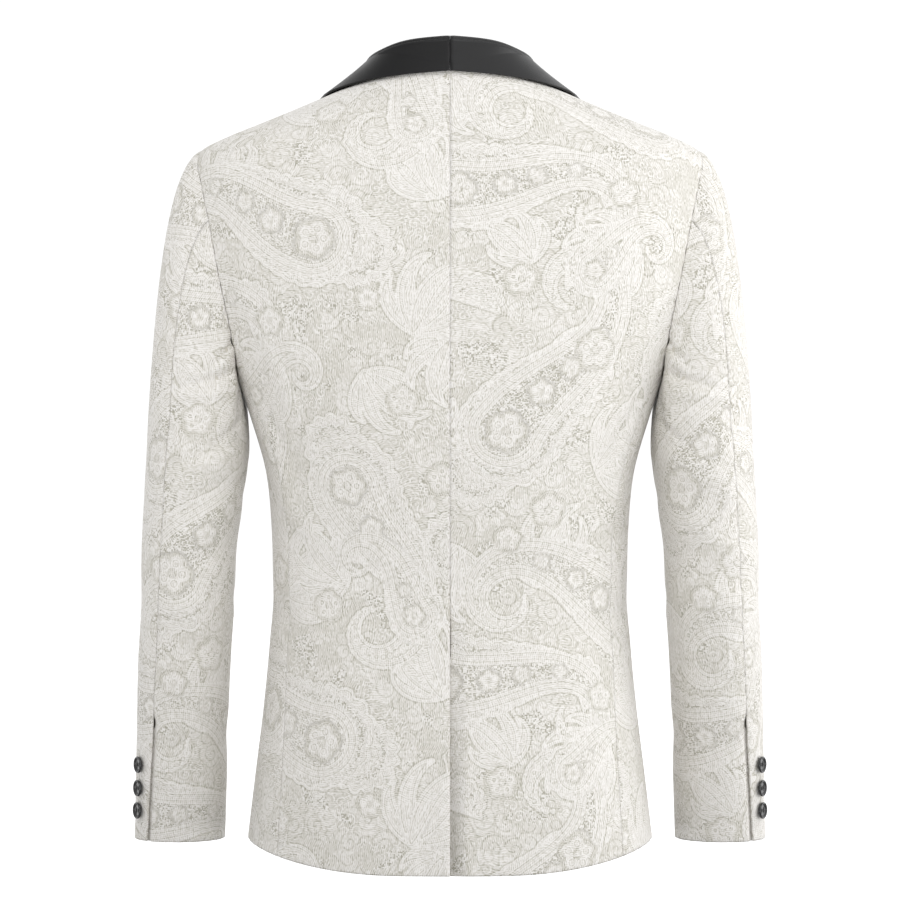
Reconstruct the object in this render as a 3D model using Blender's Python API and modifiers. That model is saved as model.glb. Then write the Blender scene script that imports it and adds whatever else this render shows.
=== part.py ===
"""A shawl-collar tuxedo jacket in brocade, hollow, in the shape it has when it is worn.

The wearer faces -Y and the wearer's left is +X. The origin is on the mid-line, level with the
nape, above the middle of the shoulders. Sizes are in millimetres and go to metres in cloth().

The body is one smooth surface of rings. A point on it has a turn, in degrees from the centre
back (0) by way of the side (90) to the centre front (180), and a height. Each panel is a patch
of that surface between its seams, and each sleeve is lofted from the armhole to the cuff.
"""

from collections import namedtuple

import bmesh
import bpy
import numpy as np
from mathutils import Vector

MM = 0.001
LEFT, RIGHT = 1, -1
SIDES = ((LEFT, "left"), (RIGHT, "right"))

# Cloth and seams
WALL = 2.0  # thickness of the lined cloth
SEAM_INSET = 0.2  # each side of a seam stands back this far, so pieces are 0.4 apart
SLEEVE_INSET = 0.6
SLEEVE_GAP = 1.0  # from the armhole edge to the sleeve
COLLAR_CLEAR = 1.3  # from the body to the underside of the collar's fall
LAP_CLEAR = 1.3  # from an upper layer of a vent or front to the layer below it

# Body
BODY_POWER = 2.3  # the rings are superellipses: 2 is an ellipse, more is boxier
NAPE_Z = 8.0
SHOULDER_TURN = 86.0  # the shoulder seam lies just behind the ridge
HEM_BACK_Z, HEM_SIDE_Z, HEM_FRONT_Z = -712.0, -691.0, -706.0
HEM_BACK_LEVEL_TURN, HEM_FRONT_LEVEL_TURN = 12.0, 150.0  # the hem is level beyond these
LINE_SAMPLES = 80  # points on a seam's line before it is divided

BodyRing = namedtuple("BodyRing", "z half_width back front")
BODY = (
    BodyRing(8, 70, 74, 60),
    BodyRing(0, 88, 77, 64),
    BodyRing(-12, 116, 82, 69),
    BodyRing(-24, 144.5, 87, 74),
    BodyRing(-36, 174, 91, 79),
    BodyRing(-48, 204, 94, 83),
    BodyRing(-61, 229.5, 97, 88),
    BodyRing(-73, 236.5, 100, 93),
    BodyRing(-92, 238.5, 104.5, 99.5),
    BodyRing(-130, 238, 111, 110),
    BodyRing(-179, 232, 117, 119),
    BodyRing(-235, 213.5, 119, 124),
    BodyRing(-275, 194.5, 118, 124),
    BodyRing(-313, 181.5, 115, 121),
    BodyRing(-354, 170, 110, 116),
    BodyRing(-400, 165, 104, 109),
    BodyRing(-455, 163.5, 99, 104),
    BodyRing(-510, 166, 103, 107),
    BodyRing(-570, 171.5, 114, 112),
    BodyRing(-640, 180, 127, 118),
    BodyRing(-700, 187, 135, 122),
    BodyRing(-720, 189, 137, 123),
)

# Armhole, as a loop that starts at the shoulder seam and runs down the back
ARMHOLE_MID_TURN, ARMHOLE_MID_Z, ARMHOLE_HALF_HEIGHT = 88.0, -168.0, 107.0
ARMHOLE_BACK, ARMHOLE_FRONT = 25.0, 26.0  # half-widths, in degrees of turn
ARMHOLE_SKEW = 0.15  # the loop is wider in its lower half
ARMHOLE_LOWER_POWER = 0.8
SIDE_BACK_AT, SIDE_FRONT_AT = 150.0, 205.0  # where the side seams meet the loop

Seam = namedtuple("Seam", "turn z")
SIDE_BACK_SEAM = (Seam(66, -330), Seam(62, -455), Seam(60.5, -520), Seam(55.5, -645))
SIDE_BACK_HEM_TURN = 54.0
SIDE_FRONT_SEAM = (Seam(108, -330), Seam(111, -455), Seam(111.5, -560))
SIDE_FRONT_HEM_TURN = 112.0

# Centre vent in the back: the left panel laps over the right one
VENT_TOP_Z, VENT_UNDERLAP_TURN = -520.0, -9.0
VENT_RUN_IN = 28.0  # height over which the underlap reaches its width
VENT_SINK_START_Z = -470.0  # the right panel sinks under the left one from here down
VENT_SINK_RUN_IN, VENT_SINK_HEM, VENT_SINK_WIDTH = 36.0, 6.0, 16.0
VENT_LIFT_HEM, VENT_LIFT_WIDTH = 2.0, 26.0

# Front edge below the lapel, as distance from the centre line on the panel's own side
FrontEdge = namedtuple("FrontEdge", "x z")
FRONT_EDGE = (
    FrontEdge(-5, -393),
    FrontEdge(-9, -408),
    FrontEdge(-13, -426),
    FrontEdge(-18, -462),
    FrontEdge(-15, -525),
    FrontEdge(-5, -590),
    FrontEdge(13, -640),
    FrontEdge(37, -676),
    FrontEdge(64, -696),
    FrontEdge(84, -703),
)
FRONT_HEM_X = 108.0
# The right front lies under the left one: it sinks down to there over the run-in and the step
FRONT_LAP_TOP_Z, FRONT_LAP_RUN_IN = -362.0, 26.0
FRONT_LAP_WIDTH, FRONT_LAP_STEP = 48.0, 26.0

# Shawl collar: the neck seam and the outer edge, both on the body, from centre back to the break
Collar = namedtuple("Collar", "neck_turn neck_z edge_turn edge_z stand")
SHAWL = (
    Collar(0, 8, 0, 3.5, 24),
    Collar(32, 8, 33, -1, 23.5),
    Collar(60, 7.5, 54, -5, 21),
    Collar(86, 6.5, 76, -10, 17),
    Collar(106, 3.5, 99, -14, 13),
    Collar(128, -2, 122.5, -24, 9),
    Collar(147, -15, 143.6, -46, 3.4),
    Collar(156.4, -30, 150.0, -66, 1.6),
    Collar(164.1, -51, 150.9, -91, 0.8),
    Collar(167.2, -76, 151.5, -119, 0.5),
    Collar(168.7, -108, 152.4, -148, 0.3),
    Collar(171.4, -180, 155, -214, 0),
    Collar(173.5, -255, 158.9, -278, 0),
    Collar(176.1, -330, 166, -340, 0),
    Collar(178.6, -388, 177.0, -391.5, 0),
)
SHOULDER_ROW = 3  # the row above that is at the shoulder seam
FOLD_EASE_ROW, FOLD_EASE_ROWS = 5, 3  # the stand runs out from this row, over so many rows
FOLD_BACK, FOLD_FRONT = 2.6, 1.8  # radius of the fold at the roll line, on its underside
STAND_LEAN = 0.2  # the stand leans in towards the neck
LEAST_STAND = 1.5
FOOT_UP, FOOT_IN = 1.1, 0.5  # from the neck seam to the foot of the stand
ROLL_LIFT = 2.4  # the fall stands this much further off the body at the roll than at its edge
COLLAR_INSET = 0.4

# Sleeve rings below the armhole, level, from the biceps to the cuff
SleeveRing = namedtuple("SleeveRing", "z x y half_width half_depth")
SLEEVE = (
    SleeveRing(-340, 232.6, 2, 47.2, 64),
    SleeveRing(-378, 236, 1, 45.8, 62),
    SleeveRing(-430, 240.9, -2, 43.8, 59),
    SleeveRing(-481, 242.6, -6, 42.9, 56),
    SleeveRing(-533, 246, -11, 42.7, 53),
    SleeveRing(-584, 248, -18, 42.3, 50),
    SleeveRing(-640, 250, -26, 42.2, 48),
    SleeveRing(-697, 252, -35, 42.0, 46),
)
SLEEVE_POWER = 2.15
HEAD_ROWS, ARM_ROWS = 8, 11
HEAD_RISE, UNDERARM_RISE = 20.0, 107.0  # how steeply the cloth leaves the armhole, in degrees
HEAD_PULL, UNDERARM_PULL, HEAD_SPREAD = 0.37, 0.8, 0.12
RING_PULL, RING_LEAN = 1.2, 0.05  # and how straight down it reaches the biceps ring
UNDERARM_DROP = 2.2  # at the underarm the sleeve starts this many gaps off the body

SeamAngle = namedtuple("SeamAngle", "z back front")
SLEEVE_SEAMS = (
    SeamAngle(-61, 68, 244),
    SeamAngle(-340, 60, 242),
    SeamAngle(-560, 58, 235),
    SeamAngle(-697, 50, 228),
)
SLIT_TOP_Z, SLIT_UNDERLAP, SLIT_RUN_IN = -588.0, 14.0, 18.0
SLIT_STEP, SLIT_SINK_RUN_IN = 9.0, 16.0  # the underlap sinks over this angle and height

# Soft folds: a trough is negative. Tilt is from level, in degrees, rising towards the front.
Fold = namedtuple("Fold", "turn z length width tilt depth")
BODY_FOLDS = (
    Fold(56, -285, 190, 26, 78, -2.6),
    Fold(66, -352, 120, 22, 60, 2.0),
    Fold(48, -430, 150, 24, 24, -1.8),
    Fold(70, -486, 120, 20, 12, -2.2),
    Fold(30, -520, 140, 30, 8, 1.6),
    Fold(128, -330, 160, 28, 55, -2.2),
    Fold(122, -470, 130, 24, 10, -2.0),
)
SLEEVE_FOLDS_Z, SLEEVE_FOLDS_RUN_IN = -150.0, 90.0  # the sleeve's head has none above this
SLEEVE_FOLDS = (
    Fold(70, -300, 95, 16, 35, -3.0),
    Fold(96, -384, 110, 16, 22, -3.2),
    Fold(110, -432, 120, 18, 14, -2.6),
    Fold(82, -478, 100, 16, -10, 2.0),
    Fold(300, -300, 100, 18, -30, -2.6),
    Fold(285, -452, 130, 16, -14, -3.4),
    Fold(262, -500, 90, 14, 10, -2.4),
    Fold(180, -600, 90, 18, 16, -1.6),
)

# Buttons
CUFF_BUTTON_RADIUS, CUFF_BUTTON_HEIGHT = 7.8, 3.2
CUFF_BUTTON_Z = (-626.0, -648.0, -669.0)
CUFF_BUTTON_ANGLE = 33.0
FRONT_BUTTON_RADIUS, FRONT_BUTTON_HEIGHT, FRONT_BUTTON_Z = 10.5, 4.0, -440.0
BUTTON_GAP = 0.9
BUTTON_SIDES, BUTTON_BEVEL = 18, 0.9

# How finely each piece is divided
NARROW = 0.015  # the first and last step of a piece, so that its edges lie true
BACK_COLUMNS, SIDE_COLUMNS = 9, 6
SHOULDER_STEPS = 12  # along the shoulder seam: rows of the back and columns of the front
SEAM_ROWS, ARMHOLE_ROWS = 14, 12
EDGE_ROWS, EDGE_CROWD = 13, 1.3  # up the front edge to the lapel's break, closer at the hem
FRONT_SPLIT = 0.62  # how much of the front's height is below the armhole
BACK_SPLITS = (0.55, 0.9)  # the same for the back, then below the shoulder seam
TOPSLEEVE_COLUMNS, UNDERSLEEVE_COLUMNS = 13, 11
SHAWL_STATIONS = 28

# Colours
BROCADE = (0.80, 0.78, 0.72, 1)
SATIN = (0.012, 0.012, 0.013, 1)
GLOSS_BLACK = (0.008, 0.008, 0.009, 1)


def ease(t):
    """0 below 0, 1 above 1, smooth between."""
    t = np.clip(t, 0, 1)
    return t * t * (3 - 2 * t)


def follow(keys, values, at):
    """A smooth curve through the values at the keys, read at any place."""
    keys, values, at = (np.asarray(a, float) for a in (keys, values, at))
    if keys[0] > keys[-1]:
        keys, values = keys[::-1], values[::-1]
    slopes = np.gradient(values, keys)
    at = np.clip(at, keys[0], keys[-1])
    i = np.clip(np.searchsorted(keys, at) - 1, 0, len(keys) - 2)
    step = keys[i + 1] - keys[i]
    t = (at - keys[i]) / step
    return (
        (1 + 2 * t) * (1 - t) ** 2 * values[i]
        + t * (1 - t) ** 2 * step * slopes[i]
        + t * t * (3 - 2 * t) * values[i + 1]
        + t * t * (t - 1) * step * slopes[i + 1]
    )


def column(rows, name):
    return [getattr(row, name) for row in rows]


def read(rows, name, at, key="z"):
    return follow(column(rows, key), column(rows, name), at)


def power(value, exponent):
    return np.sign(value) * np.abs(value) ** exponent


def unit(vectors):
    return vectors / np.linalg.norm(vectors, axis=-1, keepdims=True)


def fold_height(folds, turn, z, across):
    """How far the folds move a point out. across is the size of one degree of turn."""
    total = np.zeros(np.broadcast(turn, z).shape)
    for fold in folds:
        tilt = np.radians(fold.tilt)
        du, dv = (turn - fold.turn) * across, z - fold.z
        along = du * np.cos(tilt) + dv * np.sin(tilt)
        aside = dv * np.cos(tilt) - du * np.sin(tilt)
        total += fold.depth * np.exp(-((2 * along / fold.length) ** 2) - (aside / fold.width) ** 2)
    return total


# The body surface


def smooth_body(turn, z):
    """Points of the body without folds or laps, on the wearer's left."""
    angle = np.radians(turn)
    level = np.minimum(z, NAPE_Z)
    depth = np.where(
        np.cos(angle) > 0, read(BODY, "back", level), read(BODY, "front", level)
    )
    x = read(BODY, "half_width", level) * power(np.sin(angle), 2 / BODY_POWER)
    y = depth * power(np.cos(angle), 2 / BODY_POWER)
    return np.stack(np.broadcast_arrays(x, y, z), axis=-1).astype(float)


def body_normal(turn, z):
    """The direction straight out of the body."""
    step = 0.6
    low, high = np.minimum(z, NAPE_Z) - step, np.minimum(z, NAPE_Z)
    by_turn = smooth_body(turn + step, high) - smooth_body(turn - step, high)
    by_height = smooth_body(turn, high) - smooth_body(turn, low)
    return unit(np.cross(by_height, by_turn))


def out_of_body(points):
    """About how far points stand off the body, and the way straight out."""

    def level(p):
        z = np.minimum(p[..., 2], NAPE_Z)
        depth = np.where(p[..., 1] > 0, read(BODY, "back", z), read(BODY, "front", z))
        wide = np.abs(p[..., 0]) / read(BODY, "half_width", z)
        deep = np.abs(p[..., 1]) / depth
        return (wide**BODY_POWER + deep**BODY_POWER) ** (1 / BODY_POWER)

    here, step = level(points), 0.5
    slope = np.stack(
        [
            (level(points + step * axis) - level(points - step * axis)) / (2 * step)
            for axis in np.eye(3)
        ],
        axis=-1,
    )
    size = np.linalg.norm(slope, axis=-1)
    return (here - 1) / size, slope / size[..., None]


def lap_depth(side, x, z):
    """How far a panel stands out of the body at the vent and the front, by its own x."""
    below = ease((VENT_SINK_START_Z - z) / VENT_SINK_RUN_IN)
    share = np.clip((VENT_TOP_Z - z) / (VENT_TOP_Z - HEM_BACK_Z), 0, 1)
    if side == RIGHT:
        sink = WALL + LAP_CLEAR + VENT_SINK_HEM * share
        return -below * sink * ease((VENT_SINK_WIDTH - x) / VENT_SINK_WIDTH)
    return VENT_LIFT_HEM * share * ease((VENT_LIFT_WIDTH - x) / VENT_LIFT_WIDTH)


def front_lap_depth(side, x, z):
    if side == LEFT:
        return np.zeros(np.broadcast(x, z).shape)
    below = ease((FRONT_LAP_TOP_Z - z) / FRONT_LAP_RUN_IN)
    return -below * (WALL + LAP_CLEAR) * ease((FRONT_LAP_WIDTH - x) / FRONT_LAP_STEP)


def body_point(side, turn, z):
    """Points of the outer face of the body's cloth."""
    points = smooth_body(turn, z)
    girth = read(BODY, "half_width", np.minimum(z, NAPE_Z)) * np.pi / 180
    out = fold_height(BODY_FOLDS, turn, z, girth)
    x = points[..., 0]
    out = out + np.where(
        np.abs(turn) < 90, lap_depth(side, x, z), front_lap_depth(side, x, z)
    )
    points = points + out[..., None] * body_normal(turn, z)
    return points * (side, 1, 1)


def hem_z(turn):
    up = ease((np.abs(turn) - HEM_BACK_LEVEL_TURN) / (90 - HEM_BACK_LEVEL_TURN))
    down = ease((turn - 90) / (HEM_FRONT_LEVEL_TURN - 90))
    back = HEM_BACK_Z + (HEM_SIDE_Z - HEM_BACK_Z) * up
    front = HEM_SIDE_Z + (HEM_FRONT_Z - HEM_SIDE_Z) * down
    return np.where(np.abs(turn) < 90, back, front)


def turn_at(x, z):
    """The turn of the front point that has this x."""
    share = np.clip(x / read(BODY, "half_width", z), -1, 1)
    return 180 - np.degrees(np.arcsin(power(share, BODY_POWER / 2)))


def armhole(angle):
    """(turn, z) on the armhole. 0 is the shoulder seam, 90 the back, 180 the underarm."""
    angle = np.radians(angle)
    half = np.where(np.sin(angle) > 0, ARMHOLE_BACK, ARMHOLE_FRONT)
    squareness = np.where(np.cos(angle) > 0, 1, ARMHOLE_LOWER_POWER)
    reach = half * power(np.sin(angle), squareness) * (1 - ARMHOLE_SKEW * np.cos(angle))
    middle = 0.5 * (SHOULDER_TURN + 90) - 0.5 * (90 - SHOULDER_TURN) * np.cos(angle)
    return np.stack([middle - reach, ARMHOLE_MID_Z + ARMHOLE_HALF_HEIGHT * np.cos(angle)], -1)


def through(seam, *ends):
    """A smooth line of (turn, z) through a seam's rows, from its lowest to its highest."""
    rows = sorted([*seam, *ends], key=lambda row: row[1])
    z = np.linspace(rows[0][1], rows[-1][1], LINE_SAMPLES)
    return np.stack([follow([r[1] for r in rows], [r[0] for r in rows], z), z], -1)


def shares(count, narrow_start=True, narrow_end=True, crowd=1.0):
    """count + 1 places from 0 to 1, with a narrow step at either end. Crowd draws them to 0."""
    first, last = NARROW * narrow_start, NARROW * narrow_end
    inner = np.linspace(0, 1, count + 1 - narrow_start - narrow_end) ** crowd
    return np.concatenate(
        [[0] * narrow_start, first + (1 - first - last) * inner, [1] * narrow_end]
    )


def joined(*lines):
    """Lines that each start where the one before ends, as one line."""
    return np.concatenate([lines[0], *(line[1:] for line in lines[1:])])


def panel_rows(counts, splits):
    """Shares up a panel: each stretch of its side has its own count of rows."""
    ends = (0, *splits, 1)
    return joined(*(
        low + (high - low) * shares(count) for count, low, high in zip(counts, ends, ends[1:])
    ))


def spaced(line, at):
    """(turn, z) on the line at shares of its length along the body."""
    points = smooth_body(line[:, 0], line[:, 1])
    length = np.concatenate([[0], np.cumsum(np.linalg.norm(np.diff(points, axis=0), axis=1))])
    at = np.asarray(at) * length[-1]
    return np.stack([np.interp(at, length, line[:, 0]), np.interp(at, length, line[:, 1])], -1)


def patch(bottom, top, start, end, across, up):
    """(turn, z) all over the patch between four lines, as an array [row, column]."""
    u = across[None, :, None]
    v = up[:, None, None]
    by_rows = (1 - v) * bottom[None] + v * top[None]
    by_columns = (1 - u) * start[:, None] + u * end[:, None]
    corners = (1 - v) * ((1 - u) * bottom[0] + u * bottom[-1]) + v * (
        (1 - u) * top[0] + u * top[-1]
    )
    return by_rows + by_columns - corners


def arc(first, last):
    return armhole(np.linspace(first, last, LINE_SAMPLES))


def hem_line(first, last):
    turn = np.linspace(first, last, LINE_SAMPLES)
    return np.stack([turn, hem_z(turn)], -1)


def side_back_line():
    return through(
        SIDE_BACK_SEAM,
        (SIDE_BACK_HEM_TURN, float(hem_z(SIDE_BACK_HEM_TURN))),
        tuple(armhole(SIDE_BACK_AT)),
    )


def side_front_line():
    return through(
        SIDE_FRONT_SEAM,
        (SIDE_FRONT_HEM_TURN, float(hem_z(SIDE_FRONT_HEM_TURN))),
        tuple(armhole(SIDE_FRONT_AT)),
    )


def neck_line(first, last):
    """The neck seam between two places in the collar's rows."""
    at = np.linspace(first, last, LINE_SAMPLES)
    rows = range(len(SHAWL))
    return np.stack([follow(rows, column(SHAWL, name), at) for name in Collar._fields[:2]], -1)


def shoulder_line():
    """The shoulder seam, from the armhole up to the neck."""
    end_z = ARMHOLE_MID_Z + ARMHOLE_HALF_HEIGHT
    z = np.linspace(end_z, SHAWL[SHOULDER_ROW].neck_z, LINE_SAMPLES)
    return np.stack([np.full(LINE_SAMPLES, SHOULDER_TURN), z], -1)


def back_patch(side):
    z = np.linspace(HEM_BACK_Z, NAPE_Z, LINE_SAMPLES)
    underlap = VENT_UNDERLAP_TURN if side == RIGHT else 0
    centre = np.stack([underlap * ease((VENT_TOP_Z - z) / VENT_RUN_IN), z], -1)
    across = shares(BACK_COLUMNS)
    up = panel_rows((SEAM_ROWS, ARMHOLE_ROWS, SHOULDER_STEPS), BACK_SPLITS)
    return patch(
        bottom=spaced(hem_line(underlap, SIDE_BACK_HEM_TURN), across),
        top=spaced(neck_line(0, SHOULDER_ROW), across),
        start=spaced(centre, up),
        end=joined(
            spaced(side_back_line(), shares(SEAM_ROWS)),
            spaced(arc(SIDE_BACK_AT, 0), shares(ARMHOLE_ROWS)),
            spaced(shoulder_line(), shares(SHOULDER_STEPS)),
        ),
        across=across,
        up=up,
    )


def side_patch():
    across, up = shares(SIDE_COLUMNS), shares(SEAM_ROWS)
    return patch(
        bottom=spaced(hem_line(SIDE_BACK_HEM_TURN, SIDE_FRONT_HEM_TURN), across),
        top=spaced(arc(SIDE_BACK_AT, SIDE_FRONT_AT), across),
        start=spaced(side_back_line(), up),
        end=spaced(side_front_line(), up),
        across=across,
        up=up,
    )


def front_edge_line():
    """The front edge, from the hem up to the break."""
    break_z = SHAWL[-1].neck_z
    break_x = smooth_body(SHAWL[-1].neck_turn, break_z)[0]
    rows = sorted([FrontEdge(break_x, break_z), *FRONT_EDGE], key=lambda row: row.z)
    z = np.linspace(rows[0].z, break_z, 2 * LINE_SAMPLES)
    edge = np.stack([turn_at(read(rows, "x", z), z), z], -1)
    hem_turn = float(turn_at(FRONT_HEM_X, HEM_FRONT_Z))
    return joined(np.array([(hem_turn, float(hem_z(hem_turn))), edge[0]]), edge)


def front_patch():
    across = shares(SHOULDER_STEPS)
    edge = front_edge_line()
    lapel = neck_line(len(SHAWL) - 1, SHOULDER_ROW)
    lapel_rows = SEAM_ROWS + ARMHOLE_ROWS - EDGE_ROWS
    return patch(
        bottom=spaced(hem_line(SIDE_FRONT_HEM_TURN, edge[0, 0]), across),
        top=spaced(shoulder_line(), across),
        start=joined(
            spaced(side_front_line(), shares(SEAM_ROWS)),
            spaced(arc(SIDE_FRONT_AT, 360), shares(ARMHOLE_ROWS)),
        ),
        end=joined(
            spaced(edge, shares(EDGE_ROWS, crowd=EDGE_CROWD)),
            spaced(lapel, shares(lapel_rows, narrow_start=False)),
        ),
        across=across,
        up=panel_rows((SEAM_ROWS, ARMHOLE_ROWS), (FRONT_SPLIT,)),
    )


# The sleeves


def sleeve_ring(angle, z):
    angle = np.radians(angle)
    x = read(SLEEVE, "x", z) + read(SLEEVE, "half_width", z) * power(
        np.cos(angle), 2 / SLEEVE_POWER
    )
    y = read(SLEEVE, "y", z) + read(SLEEVE, "half_depth", z) * power(
        np.sin(angle), 2 / SLEEVE_POWER
    )
    return np.stack(np.broadcast_arrays(x, y, z), -1).astype(float)


def sleeve_head(angle, share):
    """Between the armhole (share 0) and the biceps ring (share 1)."""
    loop = armhole(angle)
    inner = loop + 0.04 * (np.array([ARMHOLE_MID_TURN, ARMHOLE_MID_Z]) - loop)
    turn, z = loop[..., 0], loop[..., 1]
    away = unit(smooth_body(inner[..., 0], inner[..., 1]) - smooth_body(turn, z))
    lower = 0.5 * (1 - np.cos(np.radians(angle)))[..., None]
    start = (
        smooth_body(turn, z)
        + SLEEVE_GAP * (1 - 0.5 * lower) * away
        + UNDERARM_DROP * SLEEVE_GAP * lower * body_normal(turn, z)
    )
    end = sleeve_ring(angle, np.full(np.shape(angle), SLEEVE[0].z))
    span = np.linalg.norm(end - start, axis=-1, keepdims=True)
    rise = np.radians(HEAD_RISE + (UNDERARM_RISE - HEAD_RISE) * lower)
    leave = np.concatenate(
        [np.cos(rise), HEAD_SPREAD * np.sin(np.radians(angle))[..., None], -np.sin(rise)], -1
    )
    leave = leave * span * (HEAD_PULL + (UNDERARM_PULL - HEAD_PULL) * lower)
    arrive = span * RING_PULL * np.array([RING_LEAN, 0, -1])
    t = np.asarray(share)[..., None]
    return (
        (1 + 2 * t) * (1 - t) ** 2 * start
        + t * (1 - t) ** 2 * leave
        + t * t * (3 - 2 * t) * end
        + t * t * (t - 1) * arrive
    )


def sleeve_axis(z):
    return np.stack(np.broadcast_arrays(read(SLEEVE, "x", z), read(SLEEVE, "y", z), z), -1)


def sleeve_grid(side, under, columns):
    """Points of the topsleeve or the undersleeve, from the cuff up to the armhole."""
    rows = ARM_ROWS + HEAD_ROWS
    points = np.zeros((rows + 1, columns + 1, 3))
    share = shares(columns)
    head_height = ARMHOLE_MID_Z + ARMHOLE_HALF_HEIGHT - SLEEVE[0].z
    levels = SLEEVE[-1].z + (SLEEVE[0].z - SLEEVE[-1].z) * shares(ARM_ROWS, narrow_end=False)
    head_shares = 1 - shares(HEAD_ROWS, narrow_start=False)
    for row in range(rows + 1):
        in_head = row > ARM_ROWS
        head_share = head_shares[max(row - ARM_ROWS, 0)]
        z = levels[min(row, ARM_ROWS)]
        seam_z = SLEEVE[0].z + (1 - head_share) * head_height if in_head else z
        back, front = read(SLEEVE_SEAMS, "back", seam_z), read(SLEEVE_SEAMS, "front", seam_z)
        below = ease((SLIT_TOP_Z - z) / SLIT_RUN_IN)
        if under:
            angle = (back - SLIT_UNDERLAP * below) * (1 - share) + front * share
        else:
            angle = (front - 360) * (1 - share) + back * share
        if in_head:
            line = sleeve_head(angle, np.full(angle.shape, head_share))
        else:
            line = sleeve_ring(angle, np.full(angle.shape, z))
        centre = sleeve_axis(line[:, 2])
        out = unit((line - centre) * (1, 1, 0))
        calm = ease((SLEEVE_FOLDS_Z - line[:, 2]) / SLEEVE_FOLDS_RUN_IN)
        size = read(SLEEVE, "half_depth", line[:, 2]) * np.pi / 180
        swell = sum(
            fold_height(SLEEVE_FOLDS, angle + around, line[:, 2], size) for around in (0, 360)
        )
        if under and not in_head:
            sunk = ease((back + SLIT_STEP - angle) / SLIT_STEP)
            sunk = sunk * ease((SLIT_TOP_Z + SLIT_SINK_RUN_IN - z) / SLIT_SINK_RUN_IN)
            swell = swell - (WALL + LAP_CLEAR) * sunk
        points[row] = line + (calm * swell)[:, None] * out
    return points * (side, 1, 1)


# The collar


def shawl_grid(side):
    """The underside of the collar: up the stand, over the roll and down the fall."""
    key = (len(SHAWL) - 1) * shares(SHAWL_STATIONS)
    rows = range(len(SHAWL))
    row = {name: follow(rows, column(SHAWL, name), key) for name in Collar._fields}
    front = ease((key - FOLD_EASE_ROW) / FOLD_EASE_ROWS)[:, None]
    seam = smooth_body(row["neck_turn"], row["neck_z"])
    normal = body_normal(row["neck_turn"], row["neck_z"])
    tangent = unit(np.gradient(seam, key, axis=0))
    outward = unit(normal * (1, 1, 0)) * (1 - front) + normal * front
    outward = unit(outward - tangent * np.sum(outward * tangent, axis=1)[:, None])
    upward = np.cross(tangent, outward)
    radius = FOLD_BACK + (FOLD_FRONT - FOLD_BACK) * front
    foot = seam + FOOT_UP * upward - FOOT_IN * outward
    stand = np.maximum(row["stand"], LEAST_STAND)[:, None]
    top = foot + stand * (upward - STAND_LEAN * (1 - front) * outward)
    lines = [foot, foot + 0.5 * (top - foot)]
    for angle in np.radians((0, 45, 90, 135)):
        bend = upward * np.sin(angle) + outward * (1 - np.cos(angle))
        lines.append(top + radius * bend)
    edge = smooth_body(row["edge_turn"], row["edge_z"])
    edge = edge + COLLAR_CLEAR * body_normal(row["edge_turn"], row["edge_z"])
    over = top + 2 * radius * outward
    for share in (0, 0.25, 0.5, 0.75, 0.97, 1.0):
        line = over + share * (edge - over)
        off, way = out_of_body(line)
        least = COLLAR_CLEAR + ROLL_LIFT * (1 - share)
        lines.append(line + np.maximum(least - off, 0)[:, None] * way)
    return np.stack(lines) * (side, 1, 1)


# Making the pieces


def material(name, colour, roughness, metallic=0.0):
    made = bpy.data.materials.new(name)
    made.use_nodes = True
    shader = made.node_tree.nodes["Principled BSDF"]
    shader.inputs["Base Color"].default_value = colour
    shader.inputs["Roughness"].default_value = roughness
    shader.inputs["Metallic"].default_value = metallic
    return made


def inset(points, amount):
    """The grid with each edge moved in a little, so that neighbours don't touch."""
    moved = points.copy()
    for edge, inner in ((0, 1), (-1, -2)):
        moved[edge] += amount * unit(points[inner] - points[edge])
        moved[:, edge] += amount * unit(points[:, inner] - points[:, edge])
    return moved


def cloth(name, points, finish, collection, at, outward, thicken_out=False):
    """A wall of cloth on a grid of points. At (row, column), outward points out of the grid."""
    rows, columns = points.shape[0] - 1, points.shape[1] - 1
    grid = bmesh.new()
    bmesh.ops.create_grid(grid, x_segments=columns, y_segments=rows, size=1.0)
    for vert in grid.verts:
        column_at = round((vert.co.x + 1) / 2 * columns)
        row_at = round((vert.co.y + 1) / 2 * rows)
        vert.co = Vector(points[row_at, column_at] * MM)
    row, place = at
    across = points[row, place + 1] - points[row, place]
    up = points[row + 1, place] - points[row, place]
    if np.dot(np.cross(across, up), outward) < 0:
        bmesh.ops.reverse_faces(grid, faces=grid.faces)
    mesh = bpy.data.meshes.new(name)
    grid.to_mesh(mesh)
    grid.free()
    mesh.shade_smooth()
    mesh.materials.append(finish)
    piece = bpy.data.objects.new(name, mesh)
    collection.objects.link(piece)
    wall = piece.modifiers.new("Wall", "SOLIDIFY")
    wall.thickness = WALL * MM
    wall.offset = 1.0 if thicken_out else -1.0
    return piece


def button(name, centre, facing, radius, height, finish, collection):
    """A round button whose underside stands just off the cloth at centre."""
    round_body = bmesh.new()
    bmesh.ops.create_cone(
        round_body,
        cap_ends=True,
        segments=BUTTON_SIDES,
        radius1=radius * MM,
        radius2=radius * MM,
        depth=height * MM,
    )
    mesh = bpy.data.meshes.new(name)
    round_body.to_mesh(mesh)
    round_body.free()
    mesh.shade_smooth()
    mesh.materials.append(finish)
    piece = bpy.data.objects.new(name, mesh)
    collection.objects.link(piece)
    facing = Vector(facing).normalized()
    piece.location = Vector(centre) * MM + facing * (BUTTON_GAP + height / 2) * MM
    piece.rotation_euler = facing.to_track_quat("Z", "Y").to_euler()
    rim = piece.modifiers.new("Rim", "BEVEL")
    rim.width = BUTTON_BEVEL * MM
    rim.segments = 1
    rim.limit_method = "ANGLE"
    return piece


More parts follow.
